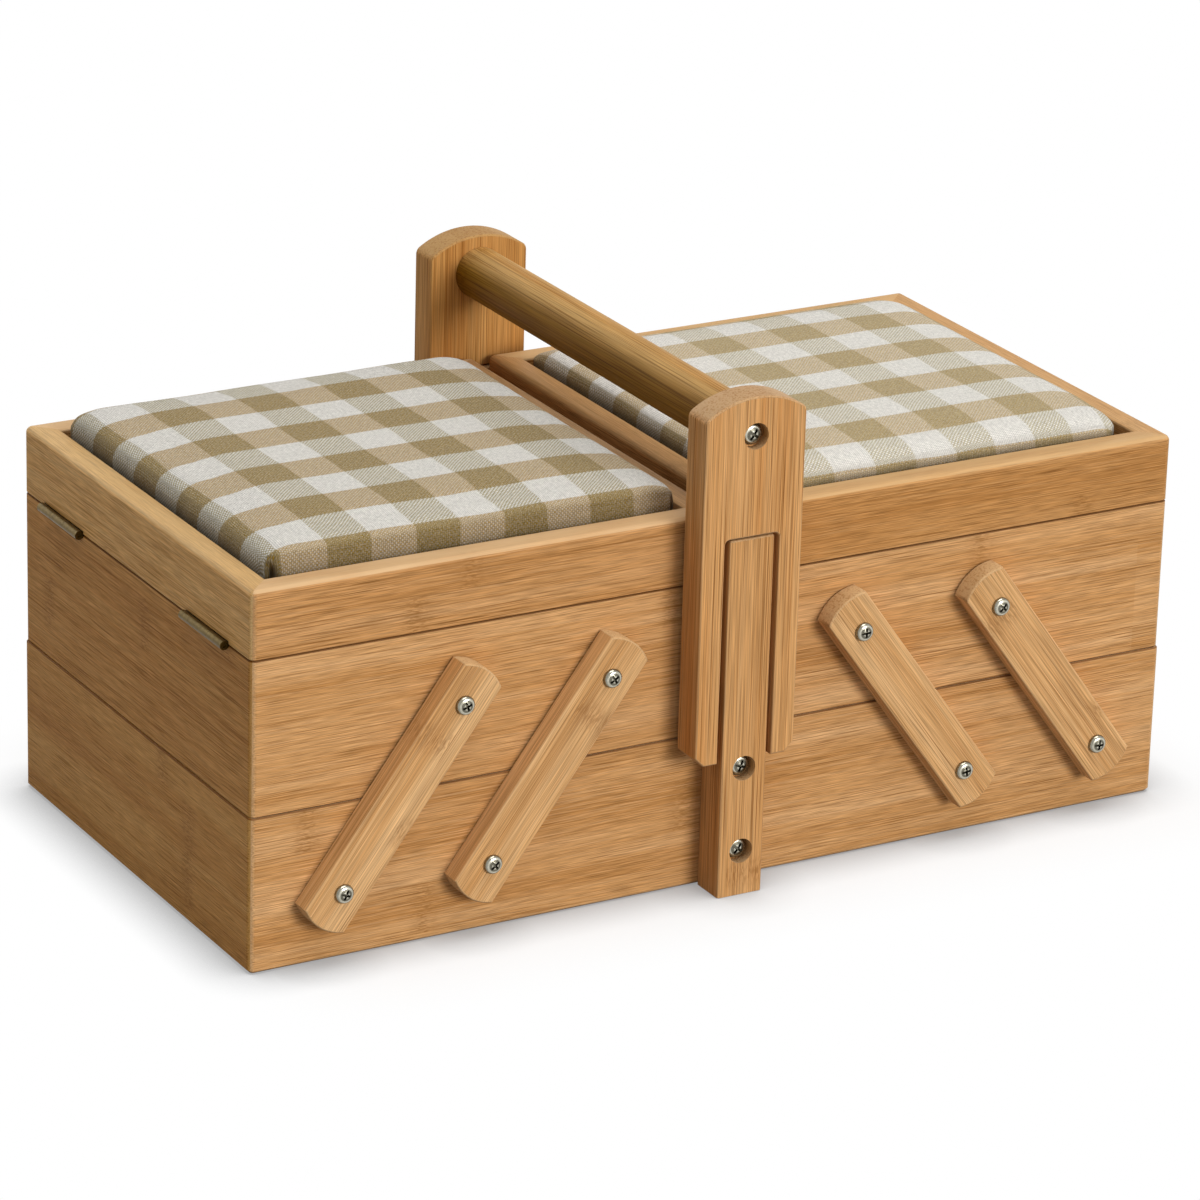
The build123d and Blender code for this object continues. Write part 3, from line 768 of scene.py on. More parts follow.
@dataclass
class BambooWork:
    """Turns CAD nodes into bamboo pieces, each cut from its own place in the stalk."""

    materials: dict[str, bpy.types.Material]
    seams: tuple[float, float]
    count: int = 0
    # How far apart in the stalk two pieces are cut, in metres along, across and into it
    stalk_step: tuple[float, float, float] = (0.413, 0.171, 0.097)
    # Cosines between which a face turns from a side to a cut end
    end_facing: tuple[float, float] = (0.35, 0.85)
    edge_rub: float = 0.18
    # Painted sheen on the upward faces of long and crossways walls
    long_rim_rub: float = 1.0
    cross_rim_rub: float = 0.45
    # Painted shadow on the eased edges at the seams: how far from the seam it reaches and how dark it is
    seam_reach_mm: float = 0.9
    seam_strength: float = 0.85
    # Width of the change from a round bar's painted shade underneath to its painted light on top, as a cosine
    bar_fade: float = 0.62

    def mark_grain(self, mesh: bpy.types.Mesh, along: Vector) -> None:
        """Writes where each point lies along, across and into its board.

        Args:
            mesh: The board's mesh.
            along: The way its fibres run.
        """
        places = [vertex.co for vertex in mesh.vertices]
        spans = [max(place[i] for place in places) - min(place[i] for place in places) for i in range(3)]
        free = [i for i in range(3) if abs(along[i]) < SLIGHTLY]
        thin = min(free, key=lambda i: spans[i])
        into = Vector([1.0 if i == thin else 0.0 for i in range(3)])
        across = into.cross(along).normalized()
        shift = Vector(self.stalk_step) * self.count
        grain = mesh.attributes.new("grain", "FLOAT_VECTOR", "POINT")
        for vertex, item in zip(mesh.vertices, grain.data):
            item.vector = Vector([vertex.co.dot(axis) for axis in (along, across, into)]) + shift
        ends = mesh.attributes.new("end_grain", "FLOAT", "FACE")
        eased = mesh.attributes.new("eased", "FLOAT", "FACE")
        side, full = self.end_facing
        for polygon, end, edge in zip(mesh.polygons, ends.data, eased.data):
            facing = [abs(polygon.normal.dot(axis)) for axis in (along, across, into)]
            end.value = min(1.0, max(0.0, (facing[0] - side) / (full - side)))
            edge.value = self.edge_rub if max(facing) < STRAIGHT else 0.0

    def mark_wear(self, mesh: bpy.types.Mesh, stain: str, lift: float) -> None:
        """Writes the board's own tint and the painted shadow on the eased edges where two boxes meet.

        Args:
            mesh: The board's mesh.
            stain: Hex colour that multiplies the bamboo.
            lift: How much paler than the usual ground the board's sides are.
        """
        tint = mesh.attributes.new("stain", "FLOAT_COLOR", "FACE")
        red, green, blue, alpha = linear(stain)
        for polygon, item in zip(mesh.polygons, tint.data):
            share = lift if abs(polygon.normal.z) < MOSTLY else 1.0
            item.color = (red * share, green * share, blue * share, alpha)
        # Painted shadow on the eased faces at the seams
        seam = mesh.attributes.new("seam", "FLOAT", "FACE")
        for polygon, item in zip(mesh.polygons, seam.data):
            level = polygon.center.z
            near = min(abs(level - height) for height in self.seams) < self.seam_reach_mm * MM
            eased = SLIGHTLY < abs(polygon.normal.z) < STRAIGHT
            item.value = self.seam_strength if near and eased else 0.0

    def rub_rim(self, mesh: bpy.types.Mesh, share: float) -> None:
        """Marks the upward faces of a wall for a painted pale sheen, where light glances off the lacquer.

        Args:
            mesh: The board's mesh.
            share: How strong the painted sheen is.
        """
        for polygon, item in zip(mesh.polygons, mesh.attributes["eased"].data):
            if polygon.normal.z > MOSTLY:
                item.value = share

    def tint_round(self, mesh: bpy.types.Mesh, worn: str, under: str) -> None:
        """Paints light and shade onto a round bar: painted light on its top and painted shade underneath.

        Args:
            mesh: The bar's mesh.
            worn: Hex colour that multiplies the top, as painted light.
            under: Hex colour that multiplies the underside, as painted shade.
        """
        mesh.attributes.remove(mesh.attributes["stain"])
        tint = mesh.attributes.new("stain", "FLOAT_COLOR", "POINT")
        top = Vector((1.0, 0.0, 1.0)).normalized()
        shades = [Vector(linear(under)), Vector(linear(worn))]
        for vertex, item in zip(mesh.vertices, tint.data):
            share = min(1.0, max(0.0, 0.5 + vertex.normal.dot(top) / self.bar_fade))
            item.color = shades[0].lerp(shades[1], share * share * (3 - 2 * share))

    def cut(self, node: str, body: str, along: Vector, slot: str, stain: str = "#ffffff",
            lift: float = 1.0) -> bpy.types.Object:
        """Makes one bamboo piece from a CAD node.

        Args:
            node: Name of the CAD node.
            body: Body it moves with.
            along: The way its fibres run.
            slot: Material slot of the record, which also picks the finish.
            stain: Hex colour that multiplies the bamboo.
            lift: How much paler than the usual ground the piece's sides are.

        Returns:
            The dressed piece.
        """
        self.count += 1
        piece = rounded_copy(node, node + ".bamboo")
        self.mark_grain(piece.data, along)
        self.mark_wear(piece.data, stain, lift)
        if slot == "bamboo_board":
            # Painted sheen on the upward faces of the walls
            self.rub_rim(piece.data, self.long_rim_rub if abs(along.x) > MOSTLY else self.cross_rim_rub)
        piece.data.materials.clear()
        piece.data.materials.append(self.materials[slot])
        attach(piece, body)
        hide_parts(node)
        log.info("bamboo piece %s on %s", piece.name, body)
        return piece


@dataclass
class BaseBox:
    """The open base: four mitred boards, the floor panel and the two posts."""

    work: BambooWork
    end_stain: str = "#eee3b9"

    def build(self) -> None:
        """Cuts and dresses the pieces of the base."""
        for face in Face:
            self.work.cut(f"base_{face.word}_board", "base", Grain.LENGTHWAYS.line, "bamboo_board")
            self.work.cut(f"{face.word}_post", "base", Grain.UPRIGHT.line, "bamboo_handle")
        for side in Side:
            self.work.cut(f"base_{side.word}_end", "base", Grain.CROSSWAYS.line, "bamboo_board",
                          self.end_stain)
        self.work.cut("base_floor_panel", "base", Grain.LENGTHWAYS.line, "floor_panel")


@dataclass
class Tray:
    """One swinging tray: four mitred boards and its floor panel."""

    work: BambooWork
    side: Side
    end_stain: str = "#ece0b8"

    def build(self) -> None:
        """Cuts and dresses the pieces of one tray."""
        tray = f"{self.side.word}_tray"
        for face in Face:
            self.work.cut(f"{tray}_{face.word}_board", tray, Grain.LENGTHWAYS.line, "bamboo_board")
        for end in ("outer", "inner"):
            self.work.cut(f"{tray}_{end}_end", tray, Grain.CROSSWAYS.line, "bamboo_board", self.end_stain)
        self.work.cut(f"{tray}_floor_panel", tray, Grain.CROSSWAYS.line, "floor_panel")


@dataclass
class Lid:
    """One lid frame: four mitred rails and the panel under the pad."""

    work: BambooWork
    side: Side
    stain: str
    outer_stain: str
    outer_lift: float

    def build(self) -> None:
        """Cuts and dresses the rails and the panel of one lid."""
        lid = f"{self.side.word}_lid"
        for face in Face:
            self.work.cut(f"{lid}_{face.word}_rail", lid, Grain.LENGTHWAYS.line, "bamboo_board", self.stain)
        self.work.cut(f"{lid}_inner_rail", lid, Grain.CROSSWAYS.line, "bamboo_board", self.stain)
        self.work.cut(f"{lid}_outer_rail", lid, Grain.CROSSWAYS.line, "bamboo_board", self.outer_stain,
                      self.outer_lift)
        self.work.cut(f"{lid}_panel", lid, Grain.CROSSWAYS.line, "floor_panel")


@dataclass
class Linkage:
    """The eight cantilever links, and the pivots that the frame gives for them."""

    work: BambooWork
    joints: dict[str, Vector] = field(default_factory=dict)

    def __post_init__(self) -> None:
        """Reads the pivots from the frame's joints."""
        for joint in frame["joints"]:
            if "pos_m" in joint:
                self.joints[joint["name"]] = Vector(joint["pos_m"])

    def rise(self, side: Side) -> Vector:
        """From a lower pivot of one side to the upper pivot of the same link."""
        return self.joints[f"{side.word}_tray_level"] - self.joints[f"{side.word}_tray_swing"]

    def lower_pivots(self, side: Side) -> list[Vector]:
        """The four pivots of one side on the base.

        Args:
            side: Left or right.

        Returns:
            Their places, from the joints between base and links.
        """
        names = [f"{side.word}_tray_swing"]
        names += [f"{side.word}_{link}_link_turn" for link in ("front_inner", "back_outer", "back_inner")]
        return [self.joints[name] for name in names]

    def build(self) -> None:
        """Cuts the links with their fibres along the strip."""
        for side in Side:
            along = self.rise(side).normalized()
            for face in Face:
                for place in ("outer", "inner"):
                    name = f"{side.word}_{face.word}_{place}_link"
                    self.work.cut(name, name, along, "bamboo_link")


@dataclass
class Handle:
    """The lifting handle: two slotted uprights, the round bar and the guide keys."""

    work: BambooWork
    # Painted light on the grip bar's top and painted shade under it
    bar_worn: str = "#ecf2dc"
    bar_under: str = "#9e903e"
    # Painted shade: a darker tint for the back upright, which stands in shade
    back_stain: str = "#f0e8cc"
    front_lift: float = 1.05

    def build(self) -> None:
        """Cuts and dresses the wooden pieces of the handle."""
        self.work.cut("front_upright", "handle", Grain.UPRIGHT.line, "bamboo_handle", lift=self.front_lift)
        # The back upright's darker tint is painted shade
        self.work.cut("back_upright", "handle", Grain.UPRIGHT.line, "bamboo_handle", self.back_stain)
        bar = self.work.cut("grip_bar", "handle", Grain.CROSSWAYS.line, "bamboo_handle")
        # Painted light on the bar's top and painted shade underneath
        self.work.tint_round(bar.data, self.bar_worn, self.bar_under)
        self.work.cut("guide_keys", "handle", Grain.UPRIGHT.line, "guide_key")


@dataclass(frozen=True)
class ScrewForm:
    """Sizes of one kind of screw in millimetres."""

    name: str
    head_radius: float
    head_height: float
    arm_reach: float
    arm_width: float
    arm_depth: float
    shank_radius: float
    shank_length: float
    domed: bool = True
    segments: int = 36
    shank_segments: int = 12
    # How far the shank reaches into the head
    shank_joint: float = 0.05
    # The pan head's outline as shares of its radius and height
    rim_radius: float = 0.97
    rim_rise: float = 0.12
    dome_radius: float = 0.62
    dome_rise: float = 0.70
    dome_steps: int = 6
    crown_radius: float = 0.36
    crown_rise: float = 0.95
    # What a flat head narrows to, and the cross at its foot
    flat_share: float = 0.96
    foot_share: float = 0.62
    # How far the cutter of the cross stands above the head
    cutter_rise: float = 0.4
    # Faces of the cross lie below this share of a pan head's and a flat head's height
    cross_levels: tuple[float, float] = (0.93, 0.8)
    # Painted shade in the driver's cross, and a painted dark reflection on the rim of a pan head
    cross_dark: float = 0.75
    rim_dark: float = 0.45
    rim_facing: float = 0.75

    def head_profile(self) -> list[tuple[float, float]]:
        """The outline that is turned into the head.

        Returns:
            Radius and height from the rim of the head to its middle.
        """
        radius, height = self.head_radius, self.head_height
        if not self.domed:
            return [(radius, 0.0), (radius * self.flat_share, height), (0.0, height)]
        points = [(radius * self.rim_radius, 0.0), (radius, height * self.rim_rise)]
        for step in range(1, self.dome_steps + 1):
            turn = radians(90 * step / self.dome_steps)
            out = self.dome_radius + (1 - self.dome_radius) * cos(turn)
            points.append((radius * out, height * (self.rim_rise + self.dome_rise * sin(turn))))
        points.append((radius * self.crown_radius, height * self.crown_rise))
        points.append((0.0, height))
        return points

    def turned(self, profile: list[tuple[float, float]]) -> bmesh.types.BMesh:
        """Turns a profile around Z into a closed shape.

        Args:
            profile: Radius and height pairs, the last on the axis.

        Returns:
            The shape in millimetres.
        """
        shape = bmesh.new()
        turns = [2 * pi * i / self.segments for i in range(self.segments)]
        rings = []
        for radius, height in profile[:-1]:
            rings.append([shape.verts.new((radius * cos(t), radius * sin(t), height)) for t in turns])
        top = shape.verts.new((0.0, 0.0, profile[-1][1]))
        for low, high in zip(rings, rings[1:]):
            for i in range(self.segments):
                j = (i + 1) % self.segments
                shape.faces.new((low[i], low[j], high[j], high[i]))
        for i in range(self.segments):
            shape.faces.new((rings[-1][i], rings[-1][(i + 1) % self.segments], top))
        shape.faces.new(list(reversed(rings[0])))
        return shape

    def cutter(self) -> bmesh.types.BMesh:
        """The driver's cross, narrower at its foot.

        Returns:
            The shape to cut away, in millimetres.
        """
        shape = bmesh.new()
        for turn in (0.0, pi / 2):
            arm = bmesh.ops.create_cube(shape, size=1.0)["verts"]
            for vertex in arm:
                foot = self.foot_share if vertex.co.z < 0 else 1.0
                vertex.co.x *= 2 * self.arm_reach * foot
                vertex.co.y *= self.arm_width * foot
                vertex.co.z = self.head_height + (self.cutter_rise if vertex.co.z > 0 else -self.arm_depth)
            bmesh.ops.rotate(shape, verts=arm, cent=(0, 0, 0), matrix=Matrix.Rotation(turn, 3, "Z"))
        return shape

    def build(self) -> bpy.types.Object:
        """Makes the screw with its cross cut, its underside at the origin and its head along +Z.

        Returns:
            A helper object for the instances, in metres.
        """
        blanks = []
        for ending, shape in (("_blank", self.turned(self.head_profile())), ("_cross", self.cutter())):
            mesh = bpy.data.meshes.new(self.name + ending)
            shape.to_mesh(mesh)
            shape.free()
            blanks.append(linked(self.name + ending, mesh))
        head, cross = blanks
        cut = head.modifiers.new("cross", "BOOLEAN")
        cut.object = cross
        cut.operation = "DIFFERENCE"
        cut.solver = "EXACT"
        cut.use_self = True
        mesh = baked_mesh(head, self.name)
        discard(head)
        discard(cross)
        shape = bmesh.new()
        shape.from_mesh(mesh)
        if self.shank_length:
            shank = bmesh.ops.create_cone(
                shape, cap_ends=True, segments=self.shank_segments, radius1=self.shank_radius,
                radius2=self.shank_radius, depth=self.shank_length,
            )["verts"]
            bmesh.ops.translate(shape, verts=shank, vec=(0, 0, self.shank_joint - self.shank_length / 2))
        bmesh.ops.scale(shape, vec=(MM, MM, MM), verts=shape.verts)
        for face in shape.faces:
            face.smooth = True
        for edge in shape.edges:
            edge.smooth = edge.calc_face_angle(pi) < SCREW_SHARP_ANGLE
        shape.to_mesh(mesh)
        shape.free()
        self.mark_cross(mesh)
        return linked(self.name, mesh)

    def mark_cross(self, mesh: bpy.types.Mesh) -> None:
        """Writes which faces are painted dark: painted shade in the driver's cross and, less, a painted dark
        reflection on the rim of a pan head.

        Args:
            mesh: The screw's mesh in metres.
        """
        sunk = mesh.attributes.new("sunk", "FLOAT", "FACE")
        level = self.head_height * self.cross_levels[0 if self.domed else 1]
        for polygon, item in zip(mesh.polygons, sunk.data):
            middle = polygon.center / MM
            inside = middle.xy.length < self.arm_reach and middle.z > 0
            crossed = inside and (middle.z < level or abs(polygon.normal.z) < MOSTLY)
            rim = self.rim_dark if self.domed and polygon.normal.z < self.rim_facing else 0.0
            item.value = self.cross_dark if crossed else rim


@dataclass
class ScrewSetter:
    """Drives screws in with Geometry Nodes: one instance on each place, turned along its facing."""

    seed: int = 7
    tree: Optional[bpy.types.NodeTree] = None
    sockets: dict[str, str] = field(default_factory=dict)

    def plan(self) -> None:
        """Builds the tree with its named inputs."""
        tree = bpy.data.node_groups.new("screw_setting", "GeometryNodeTree")
        kinds = {
            "Places": "NodeSocketGeometry", "Screw": "NodeSocketObject", "Spin": "NodeSocketFloat",
            "Seed": "NodeSocketInt", "Finish": "NodeSocketMaterial",
        }
        for name, kind in kinds.items():
            socket = tree.interface.new_socket(name, in_out="INPUT", socket_type=kind)
            self.sockets[name] = socket.identifier
        tree.interface.new_socket("Screws", in_out="OUTPUT", socket_type="NodeSocketGeometry")
        given = add_node(tree, "NodeGroupInput").node.outputs
        screw = add_node(tree, "GeometryNodeObjectInfo", {"Object": given["Screw"]}, "Geometry")
        facing = add_node(tree, "GeometryNodeInputNamedAttribute", {
            "Name": "facing",
        }, data_type="FLOAT_VECTOR")
        turned = add_node(tree, "FunctionNodeAlignRotationToVector", {"Vector": facing}, axis="Z")
        chance = add_node(tree, "FunctionNodeRandomValue", {
            2: 0.0, 3: given["Spin"], "Seed": given["Seed"],
        }, 1)
        spin = add_node(tree, "FunctionNodeAxisAngleToRotation", {"Axis": (0, 0, 1), "Angle": chance})
        both = add_node(tree, "FunctionNodeRotateRotation", {
            "Rotation": turned, "Rotate By": spin,
        }, rotation_space="LOCAL")
        placed = add_node(tree, "GeometryNodeInstanceOnPoints", {
            "Points": given["Places"], "Instance": screw, "Rotation": both,
        })
        real = add_node(tree, "GeometryNodeRealizeInstances", {"Geometry": placed})
        dressed = add_node(tree, "GeometryNodeSetMaterial", {"Geometry": real, "Material": given["Finish"]})
        add_node(tree, "NodeGroupOutput", {"Screws": dressed})
        self.tree = tree

    def drive(self, name: str, screw: bpy.types.Object, places: list[tuple[Vector, Vector]],
              finish: bpy.types.Material) -> bpy.types.Object:
        """Sets one screw on each place and makes the set a plain mesh.

        Args:
            name: Name of the set.
            screw: The screw to repeat.
            places: Points and the ways the heads face.
            finish: The screws' material.

        Returns:
            The finished set, not yet riding on anything.
        """
        dots = bpy.data.meshes.new(name + "_places")
        dots.from_pydata([point for point, _ in places], [], [])
        facing = dots.attributes.new("facing", "FLOAT_VECTOR", "POINT")
        for item, (_, way) in zip(facing.data, places):
            item.vector = way
        helper = bpy.data.objects.new(name + "_places", dots)
        setter = helper.modifiers.new("screws", "NODES")
        setter.node_group = self.tree
        setter[self.sockets["Screw"]] = screw
        setter[self.sockets["Spin"]] = pi / 2
        setter[self.sockets["Seed"]] = self.seed
        setter[self.sockets["Finish"]] = finish
        bpy.context.scene.collection.objects.link(helper)
        mesh = baked_mesh(helper, name)
        discard(helper)
        self.seed += 1
        return linked(name, mesh)


@dataclass
class Fasteners:
    """All screws: the pivots of the links, the posts, the handle and the hinges."""

    setter: ScrewSetter
    linkage: Linkage
    zinc: bpy.types.Material
    brass: bpy.types.Material
    pivot: ScrewForm = ScrewForm(
        "pivot_screw", head_radius=3.8, head_height=2.4, arm_reach=2.3, arm_width=1.05, arm_depth=1.5,
        shank_radius=1.9, shank_length=6.0,
    )
    sunk: ScrewForm = ScrewForm(
        "sunk_screw", head_radius=4.4, head_height=2.8, arm_reach=2.7, arm_width=1.15, arm_depth=1.7,
        shank_radius=1.9, shank_length=6.0,
    )
    flat: ScrewForm = ScrewForm(
        "hinge_screw", head_radius=1.9, head_height=0.06, arm_reach=1.2, arm_width=0.5, arm_depth=0.05,
        shank_radius=0.0, shank_length=0.0, domed=False,
    )
    # The small screws' spacing along a leaf, their distance from the box's end and from the seam
    hinge_screw_spread_mm: float = 11.5
    hinge_screw_inset_mm: float = 5.0
    hinge_screw_rise_mm: float = 0.2

    def faced(self, points: list[Vector], seat: float) -> list[tuple[Vector, Vector]]:
        """Puts points on the seat of the face they belong to.

        Args:
            points: Places whose sign of Y says front or back.
            seat: Distance of the seat from the middle plane.

        Returns:
            Places and facings.
        """
        result = []
        for point in points:
            way = Vector((0, 1 if point.y > 0 else -1, 0))
            result.append((Vector((point.x, way.y * seat, point.z)), way))
        return result

    def put(self, node: str, body: str, form: ScrewForm, screw: bpy.types.Object,
            points: list[Vector]) -> None:
        """Drives one set of zinc screws in place of its CAD node.

        Args:
            node: The CAD node with the same screws.
            body: Body they move with.
            form: Their sizes.
            screw: The screw to repeat.
            points: Their places.
        """
        _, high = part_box(node)
        places = self.faced(points, high[1] - form.head_height * MM)
        piece = self.setter.drive(node + ".zinc", screw, places, self.zinc)
        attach(piece, body)
        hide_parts(node)
        log.info("screw set %s on %s", piece.name, body)

    def middle_points(self, heights: list[float]) -> list[Vector]:
        """Points on the middle line of both faces at the given heights."""
        return [Vector((0, face.value, z)) for face in Face for z in heights]

    def hinge_places(self, side: Side, up: int) -> list[tuple[Vector, Vector]]:
        """Where the small screws sit in the leaves of one side.

        Args:
            side: Left or right.
            up: One for the lid's leaves and minus one for the tray's.

        Returns:
            Places and facings.
        """
        low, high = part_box(f"{side.word}_lid_outer_rail")
        seam = low[2]
        edge = high[0] if side is Side.RIGHT else low[0]
        leaf_low, leaf_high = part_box(f"{side.word}_hinge_{'upper' if up > 0 else 'lower'}_leaves")
        reach = max(abs(leaf_low[1]), abs(leaf_high[1]))
        middle = reach - HINGE_LENGTH_MM * MM / 2
        x = edge - side.value * self.hinge_screw_inset_mm * MM
        z = seam + up * self.hinge_screw_rise_mm * MM
        places = []
        for y in (-middle, middle):
            for step in (-1, 0, 1):
                point = Vector((x, y + step * self.hinge_screw_spread_mm * MM, z))
                places.append((point, Vector((0, 0, -up))))
        return places

    def build(self) -> None:
        """Drives every set of screws."""
        self.setter.plan()
        pivot, sunk, flat = self.pivot.build(), self.sunk.build(), self.flat.build()
        base_points = [point for side in Side for point in self.linkage.lower_pivots(side)]
        self.put("base_link_screws", "base", self.pivot, pivot, base_points)
        for side in Side:
            raised = [point + self.linkage.rise(side) for point in self.linkage.lower_pivots(side)]
            self.put(f"{side.word}_tray_link_screws", f"{side.word}_tray", self.pivot, pivot, raised)
        radius = self.sunk.head_radius * MM
        low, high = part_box("post_screws")
        heights = [low[2] + radius, high[2] - radius]
        self.put("post_screws", "base", self.sunk, sunk, self.middle_points(heights))
        low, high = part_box("handle_screws")
        self.put("handle_screws", "handle", self.sunk, sunk, self.middle_points([(low[2] + high[2]) / 2]))
        for side in Side:
            for up, part in ((-1, "tray"), (1, "lid")):
                name = f"{side.word}_{part}_hinge_screws"
                piece = self.setter.drive(name, flat, self.hinge_places(side, up), self.brass)
                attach(piece, f"{side.word}_{part}")
                log.info("screw set %s", name)
        for screw in (pivot, sunk, flat):
            discard(screw)


@dataclass
class Hinges:
    """The brass butt hinges at the outer ends."""

    brass: bpy.types.Material
    knuckle_play_mm: float = 0.12
    # Points this near the end of a knuckle belong to it
    knuckle_end_mm: float = 0.3

    def part_knuckles(self, mesh: bpy.types.Mesh) -> None:
        """Draws the ends of the lid's knuckles in, so that they turn clear of the tray's.

        Args:
            mesh: The lid's leaves, whose knuckle is the middle third of each hinge.
        """
        middle = max(abs(vertex.co.y) for vertex in mesh.vertices) - HINGE_LENGTH_MM * MM / 2
        end = HINGE_LENGTH_MM * MM / 6
        for vertex in mesh.vertices:
            away = abs(vertex.co.y) - middle
            if abs(abs(away) - end) < self.knuckle_end_mm * MM:
                vertex.co.y -= copysign(self.knuckle_play_mm * MM, away * vertex.co.y)

    def build(self) -> None:
        """Dresses the leaves of both sides."""
        for side in Side:
            for leaf, body in (("lower", "tray"), ("upper", "lid")):
                node = f"{side.word}_hinge_{leaf}_leaves"
                piece = rounded_copy(node, node + ".brass")
                if leaf == "upper":
                    self.part_knuckles(piece.data)
                piece.data.materials.clear()
                piece.data.materials.append(self.brass)
                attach(piece, f"{side.word}_{body}")
                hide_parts(node)
                log.info("hinge leaves %s", piece.name)


@dataclass(frozen=True)
class EdgeRoll:
    """How one edge of a pad sags: its share of the full rise at the wall, and how far in that reaches."""

    wall_share: float = 1.0
    reach_mm: float = 14.0

    def share(self, inset: float) -> float:
        """The share of the full rise at a distance from the wall.

        Args:
            inset: Distance from the wall in metres.

        Returns:
            A factor from the wall's share up to one.
        """
        along = min(1.0, max(0.0, inset / (self.reach_mm * MM)))
        return self.wall_share + (1 - self.wall_share) * sin(along * pi / 2)


@dataclass
class LidPad:
    """One gingham pad: a fine form of the CAD pad, partly swollen as cloth and tucked at the corners."""

    side: Side
    cloth: bpy.types.Material
    check_middle_mm: tuple[float, float]
    fullness: float
    soft: dict[str, EdgeRoll]
    slack_corner_mm: float = 0.0
    # Painted light: this factor paints the pad's whole cloth lighter or darker for the light on its side of
    # the box
    clean: float = 1.0
    # 2 leaves the front roll round, more draws it out into a tight edge
    front_square: float = 2.0
    front_roll_mm: float = 6.5
    form_mm: float = 1.7
    form_smoothing: int = 3
    net_mm: float = 5.0
    net_smoothing: int = 3
    smoothing_factor: float = 0.5
    start_inset_mm: float = 1.4
    start_drop_mm: float = 1.6
    swell_cap_mm: float = 4.0
    swell_share: float = 0.25
    # Points this near the bottom are held by the panel
    held_mm: float = 4.0
    pressure: float = 4.0
    cloth_mass: float = 0.25
    cloth_stiffness: float = 0.4
    frames: int = 20
    # Points of the simulated net that move one point of the fine form
    neighbours: int = 8
    roll_mm: float = 6.5
    crown_mm: float = 1.4
    wall_play_mm: float = 0.3
    corner_mm: float = 7.0
    tuck_depth_mm: float = 3.4
    tuck_half_angle: float = 13.0
    # The slit starts this far below the top and is at its full depth after this much more
    tuck_start_mm: float = 4.5
    tuck_fade_mm: float = 5.0
    slack_reach_mm: float = 38.0
    # Cosines between which a side is steep enough for the cloth to hang straight down
    steep_facing: tuple[float, float] = (0.80, 0.98)
    pucker_mm: float = 0.35
    puckers_per_metre: float = 120.0
    pucker_squash: float = 0.35
    pucker_foot_mm: float = 8.0
    lump_mm: float = 0.5
    lumps_per_metre: float = 26.0
    top_play_mm: float = 0.6
    # Painted shade: how much darker the cloth is painted on steep sides, down by the rim and where it faces
    # left, away from the light
    steep_shade: float = 0.20
    rim_shade: float = 0.28
    left_shade: float = 0.14
    rim_shade_mm: float = 7.0

    def __post_init__(self) -> None:
        """Reads the pad's room from the frame."""
        low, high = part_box(f"{self.side.word}_lid_pad")
        self.low = Vector(low)
        self.high = Vector(high)
        self.middle = (self.low + self.high) / 2
        self.half = (self.high - self.low) / 2
        self.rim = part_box(f"{self.side.word}_lid_front_rail")[1][2]

    def net(self, cell_mm: float, smoothing: int) -> bpy.types.Object:
        """The CAD pad as an even net of small faces.

        Args:
            cell_mm: Size of a face.
            smoothing: How often the net is evened.

        Returns:
            A helper object.
        """
        helper = linked("pad_form", clean_copy(f"{self.side.word}_lid_pad"))
        cells = helper.modifiers.new("cells", "REMESH")
        cells.mode = "VOXEL"
        cells.voxel_size = cell_mm * MM
        even = helper.modifiers.new("even", "SMOOTH")
        even.factor = self.smoothing_factor
        even.iterations = smoothing
        result = linked("pad_net", baked_mesh(helper, "pad_net"))
        discard(helper)
        return result

    def swelling(self) -> list[tuple[Vector, Vector]]:
        """Starts the pad slightly smaller and blows it up inside its cloth.

        Returns:
            Places on the CAD pad and how far the swollen pad lies from them.
        """
        pad = self.net(self.net_mm, self.net_smoothing)
        settled = [vertex.co.copy() for vertex in pad.data.vertices]
        inset = Vector((self.start_inset_mm, self.start_inset_mm, self.start_drop_mm / 2)) * MM
        shrink = [1 - inset[i] / self.half[i] for i in range(3)]
        foot = Vector((self.middle.x, self.middle.y, self.low.z))
        for vertex in pad.data.vertices:
            vertex.co = foot + Vector([(vertex.co - foot)[i] * shrink[i] for i in range(3)])
        held = pad.vertex_groups.new(name="held")
        foot_level = self.low.z + self.held_mm * MM
        held.add([v.index for v in pad.data.vertices if v.co.z < foot_level], 1.0, "REPLACE")
        cloth = pad.modifiers.new("swell", "CLOTH")
        cloth.settings.vertex_group_mass = "held"
        cloth.settings.use_pressure = True
        cloth.settings.uniform_pressure_force = self.pressure
        cloth.settings.effector_weights.gravity = 0.0
        cloth.settings.mass = self.cloth_mass
        cloth.settings.bending_stiffness = self.cloth_stiffness
        cloth.collision_settings.use_collision = False
        cloth.point_cache.frame_start = 1
        cloth.point_cache.frame_end = self.frames
        scene = bpy.context.scene
        for step in range(1, self.frames + 1):
            scene.frame_set(step)
        swollen = baked_mesh(pad, "pad_swollen")
        scene.frame_set(1)
        cap = self.swell_cap_mm * MM
        result = []
        for place, vertex in zip(settled, swollen.vertices):
            step = vertex.co - place
            if step.length > cap:
                step *= cap / step.length
            result.append((place, step))
        bpy.data.meshes.remove(swollen)
        discard(pad)
        return result

    def swell(self, mesh: bpy.types.Mesh, steps: list[tuple[Vector, Vector]]) -> None:
        """Moves the fine form by a share of the simulated swelling.

        Args:
            mesh: The fine form.
            steps: Places and steps from the simulation.
        """
        finder = kdtree.KDTree(len(steps))
        for index, (place, _) in enumerate(steps):
            finder.insert(place, index)
        finder.balance()
